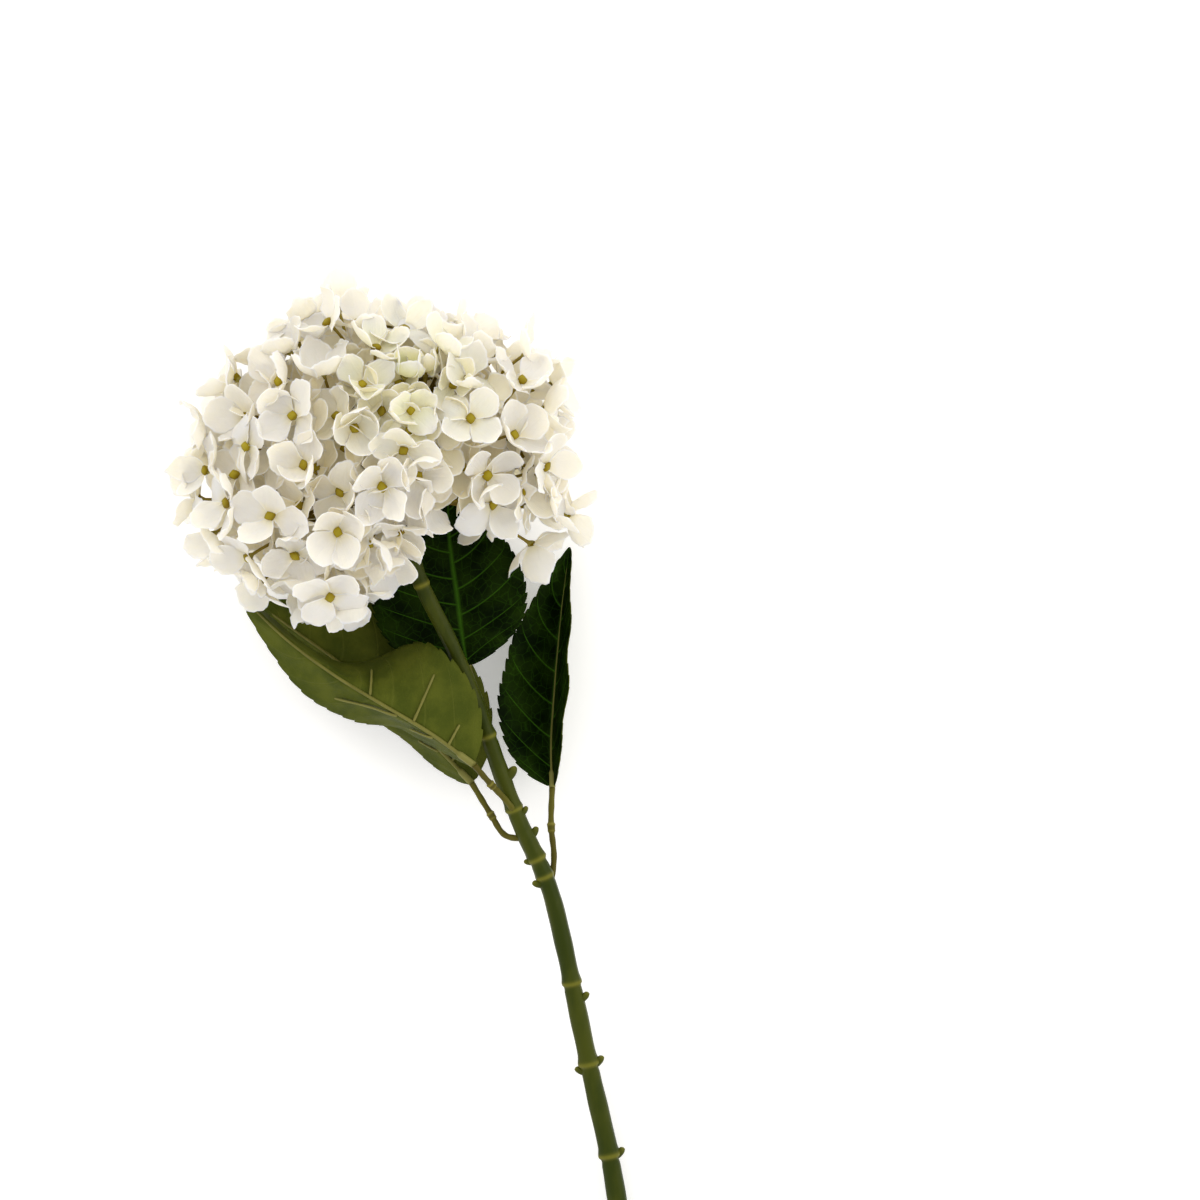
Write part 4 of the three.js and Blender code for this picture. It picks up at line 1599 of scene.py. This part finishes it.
    def is_clear(self, place: Array, sheet: Array, clearance: float) -> bool:
        """Whether a floret's place and its stalk keep clear of the hub, the open side and the leaves.

        Args:
            place: the middle of the floret.
            sheet: places on every leaf.
            clearance: least distance from the floret's middle to a leaf.

        Returns:
            True if the floret fits.
        """
        hub = np.array(self.hub, float)
        if float(np.linalg.norm(place - hub)) < self.least_reach or self.in_open_side(place):
            return False
        if np.linalg.norm(sheet - place, axis=1).min() < clearance:
            return False
        stalk = [hub + (place - hub) * share for share in (0.3, 0.45, 0.6, 0.75, 0.9)]
        return all(np.linalg.norm(sheet - point, axis=1).min() >= self.stalk_clearance for point in stalk)

    def floret(self, key: int, facing: Array, place: Array, deep: float) -> Floret:
        """A floret at a place.

        Args:
            key: the number that its own variations come from.
            facing: the unit direction that it faces.
            place: the middle of the floret.
            deep: how deep it nests, from 0 to 1.

        Returns:
            The floret.
        """
        calyx = place + facing * (-self.cup - self.calyx_length)
        away = float(np.linalg.norm(place - np.array(self.youngest)))
        young = max(0.0, 1 - away / self.young_reach) * (0.6 + 0.4 * scatter(key, 30))
        made = Floret(key, place, facing, calyx, scatter(key, 4) * math.pi, young, deep)
        if deep > 0:
            made.length, made.half_width, made.steps = 0.9 * made.length, 0.95 * made.half_width, 13
        return made

    def cymes(self, leaves: list[Leaf]) -> list[Cyme]:
        """The cymes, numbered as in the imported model.

        Args:
            leaves: the leaves to keep clear of.

        Returns:
            The cymes in order.
        """
        directions = []
        for index in range(self.cyme_count):
            middle = self.spot(self.spiral(index, self.cyme_count), 0)
            if not self.in_open_side(middle):
                directions.append(self.from_hub(middle))
        groups: list[list[Floret]] = [[] for _ in directions]
        for floret in self.florets(leaves):
            facing = self.from_hub(floret.calyx)
            turns = [angle_between(way, facing) for way in directions]
            groups[int(np.argmin(turns))].append(floret)
        hub = np.array(self.hub, float)
        kept = [(way, group) for way, group in zip(directions, groups) if group]
        return [Cyme(number + 1, hub, way, group) for number, (way, group) in enumerate(kept)]

    def build_hub(self, place: Frame, finishes: Finishes, stem: MainStem) -> None:
        """Makes the swollen crown that the rays spring from.

        Args:
            place: the frame that the flower stands in.
            finishes: what the pieces are dressed in.
            stem: the stem that carries the head.
        """
        hub, down = np.array(self.hub, float), stem.curve.tangent(0.0)
        crown = hub - down * self.hub_radius * 0.75
        seat = stem.curve.point(0.0) - down * 0.3
        shares = np.linspace(0, 1, 30)
        path = crown + shares[:, None] * (seat - crown)
        turns = np.arange(20) * 2 * math.pi / 20
        body = np.interp(shares, [0, 0.3, 0.6, 1], [0.35, 0.8, 0.85, 0.7]) * self.hub_radius
        flutes = 1 + 0.06 * np.cos(5 * turns) + 0.03 * np.cos(9 * turns + 1)
        radii = body[:, None] * flutes[None, :]
        shell = tube(path, radii, 20, {"ridge": 0.3 * np.exp(-(((shares - 0.6) / 0.08) ** 2))})
        Piece("hub_crown", "head_hub", "flower_stalks", [finishes.stalk], [shell]).make(place)

    def build(self, place: Frame, finishes: Finishes, stem: MainStem, leaves: list[Leaf]) -> None:
        """Makes the hub and every cyme.

        Args:
            place: the frame that the flower stands in.
            finishes: what the pieces are dressed in.
            stem: the stem that carries the head.
            leaves: the leaves to keep clear of.
        """
        self.build_hub(place, finishes, stem)
        for cyme in self.cymes(leaves):
            cyme.build(place, finishes)


# ---------------------------------------------------------------- surroundings
@dataclass(frozen=True)
class Lamp:
    """A square soft light.

    Attributes:
        name: of the light.
        offset: from what it faces, in metres.
        size: of its side, in metres.
        power: in watts.
        tint: of its light.
    """

    name: str
    offset: Point
    size: float
    power: float
    tint: Colour

    def build(self, target: Array) -> None:
        """Makes the light so that it faces a target.

        Args:
            target: the point that it faces, in metres.
        """
        light = bpy.data.lights.new(self.name, "AREA")
        light.shape, light.size, light.energy, light.color = "SQUARE", self.size, self.power, self.tint
        lamp = bpy.data.objects.new(self.name, light)
        lamp.location = Vector(target + np.array(self.offset))
        lamp.rotation_mode = "QUATERNION"
        lamp.rotation_quaternion = Vector(-np.array(self.offset)).to_track_quat("-Z", "Y")
        bpy.context.scene.collection.objects.link(lamp)


@dataclass
class Studio:
    """The table top, the lights and the camera.

    Attributes:
        middle: the point in the plan that the camera looks at.
        lit: the point in the plan that the lamps face.
        height: of the camera over the middle, in metres.
        lens: of the camera, in millimetres.
        view_width: of the picture at the middle, in metres.
        table_half: half the table top's side, in metres.
        table_tone: least and greatest brightness of its paint.
        table_glow: how bright it is by itself.
        sky: the colour of the light from all round.
        sky_strength: of that light.
        lamps: the soft lights.
    """

    middle: Point = (107.5, -72.5, 64)
    lit: Point = (30, -60, 40)
    height: float = 2.0
    lens: float = 120.0
    view_width: float = 0.6
    table_half: float = 3.0
    table_tone: tuple[float, float] = (0.90, 0.93)
    table_glow: float = 0.3
    sky: Colour = (1.0, 0.985, 0.955)
    sky_strength: float = 0.95
    lamps: tuple[Lamp, ...] = (
        Lamp("key", (-1.0, 1.3, 1.2), 0.9, 9.5, (1.0, 0.985, 0.96)),
        Lamp("fill", (1.6, 0.2, 1.0), 1.2, 8.0, (1.0, 0.99, 0.98)),
    )

    def table_paint(self) -> bpy.types.Material:
        """A pale matt paint, hardly uneven.

        Returns:
            The paint.
        """
        material, sheet = new_material("table_paint")
        noise = sheet.add("ShaderNodeTexNoise", scale=18.0, detail=3.0)
        tone = sheet.add("ShaderNodeMapRange", value=noise.outputs["Fac"])
        tone.inputs["To Min"].default_value, tone.inputs["To Max"].default_value = self.table_tone
        grey = tone.outputs[0]
        shade = sheet.add("ShaderNodeCombineColor", in_0=grey, in_1=grey, in_2=grey)
        shader = sheet.add("ShaderNodeBsdfPrincipled", base_color=shade.outputs[0], roughness=0.9)
        shader.inputs["Specular IOR Level"].default_value = 0.0
        shader.inputs["Emission Color"].default_value = (1.0, 1.0, 1.0, 1.0)
        shader.inputs["Emission Strength"].default_value = self.table_glow
        sheet.finish(shader)
        return material

    def table(self) -> None:
        """A pale plain table top."""
        mesh = bpy.data.meshes.new("table_top")
        sides = (-self.table_half, self.table_half)
        mesh.from_pydata([(x, y, 0.0) for y in sides for x in sides], [], [(0, 1, 3, 2)])
        mesh.materials.append(self.table_paint())
        top = bpy.data.objects.new("table_top", mesh)
        bpy.context.scene.collection.objects.link(top)

    def camera(self, place: Frame) -> bpy.types.Object:
        """Makes the camera, which looks straight down on the flower.

        Args:
            place: the frame that the flower stands in.

        Returns:
            The camera.
        """
        middle = place.to_world(np.array([self.middle]))[0]
        camera = bpy.data.cameras.new("camera")
        camera.lens = self.lens
        camera.sensor_width = self.view_width / self.height * self.lens
        camera.clip_start, camera.clip_end = 0.05, 20.0
        eye = bpy.data.objects.new("camera", camera)
        eye.location = Vector((middle[0], middle[1], middle[2] + self.height))
        bpy.context.scene.collection.objects.link(eye)
        return eye

    def build(self, place: Frame) -> None:
        """Makes the table top, the lights, the sky and the camera.

        Args:
            place: the frame that the flower stands in.
        """
        self.table()
        target = place.to_world(np.array([self.lit]))[0]
        for lamp in self.lamps:
            lamp.build(target)
        world = bpy.data.worlds.new("sky")
        world.use_nodes = True
        sky = world.node_tree.nodes["Background"]
        sky.inputs["Color"].default_value = (*self.sky, 1.0)
        sky.inputs["Strength"].default_value = self.sky_strength
        scene = bpy.context.scene
        scene.world = world
        scene.view_settings.view_transform = "Standard"
        scene.camera = self.camera(place)


def main() -> None:
    """Builds the flower piece by piece."""
    logging.basicConfig(level=logging.INFO, format="%(message)s")
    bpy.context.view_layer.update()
    finishes = Finishes()
    stem, leaves, head = MainStem(), all_leaves(), Head()
    place = Frame("leaf_c_blade", leaves[2].coarse_points())
    LOG.info("plan lies at %s", place.shift)
    stem.build(place, finishes)
    for leaf in leaves:
        leaf.build(place, finishes)
    head.build(place, finishes, stem, leaves)
    Studio().build(place)


if __name__ == "__main__":
    main()
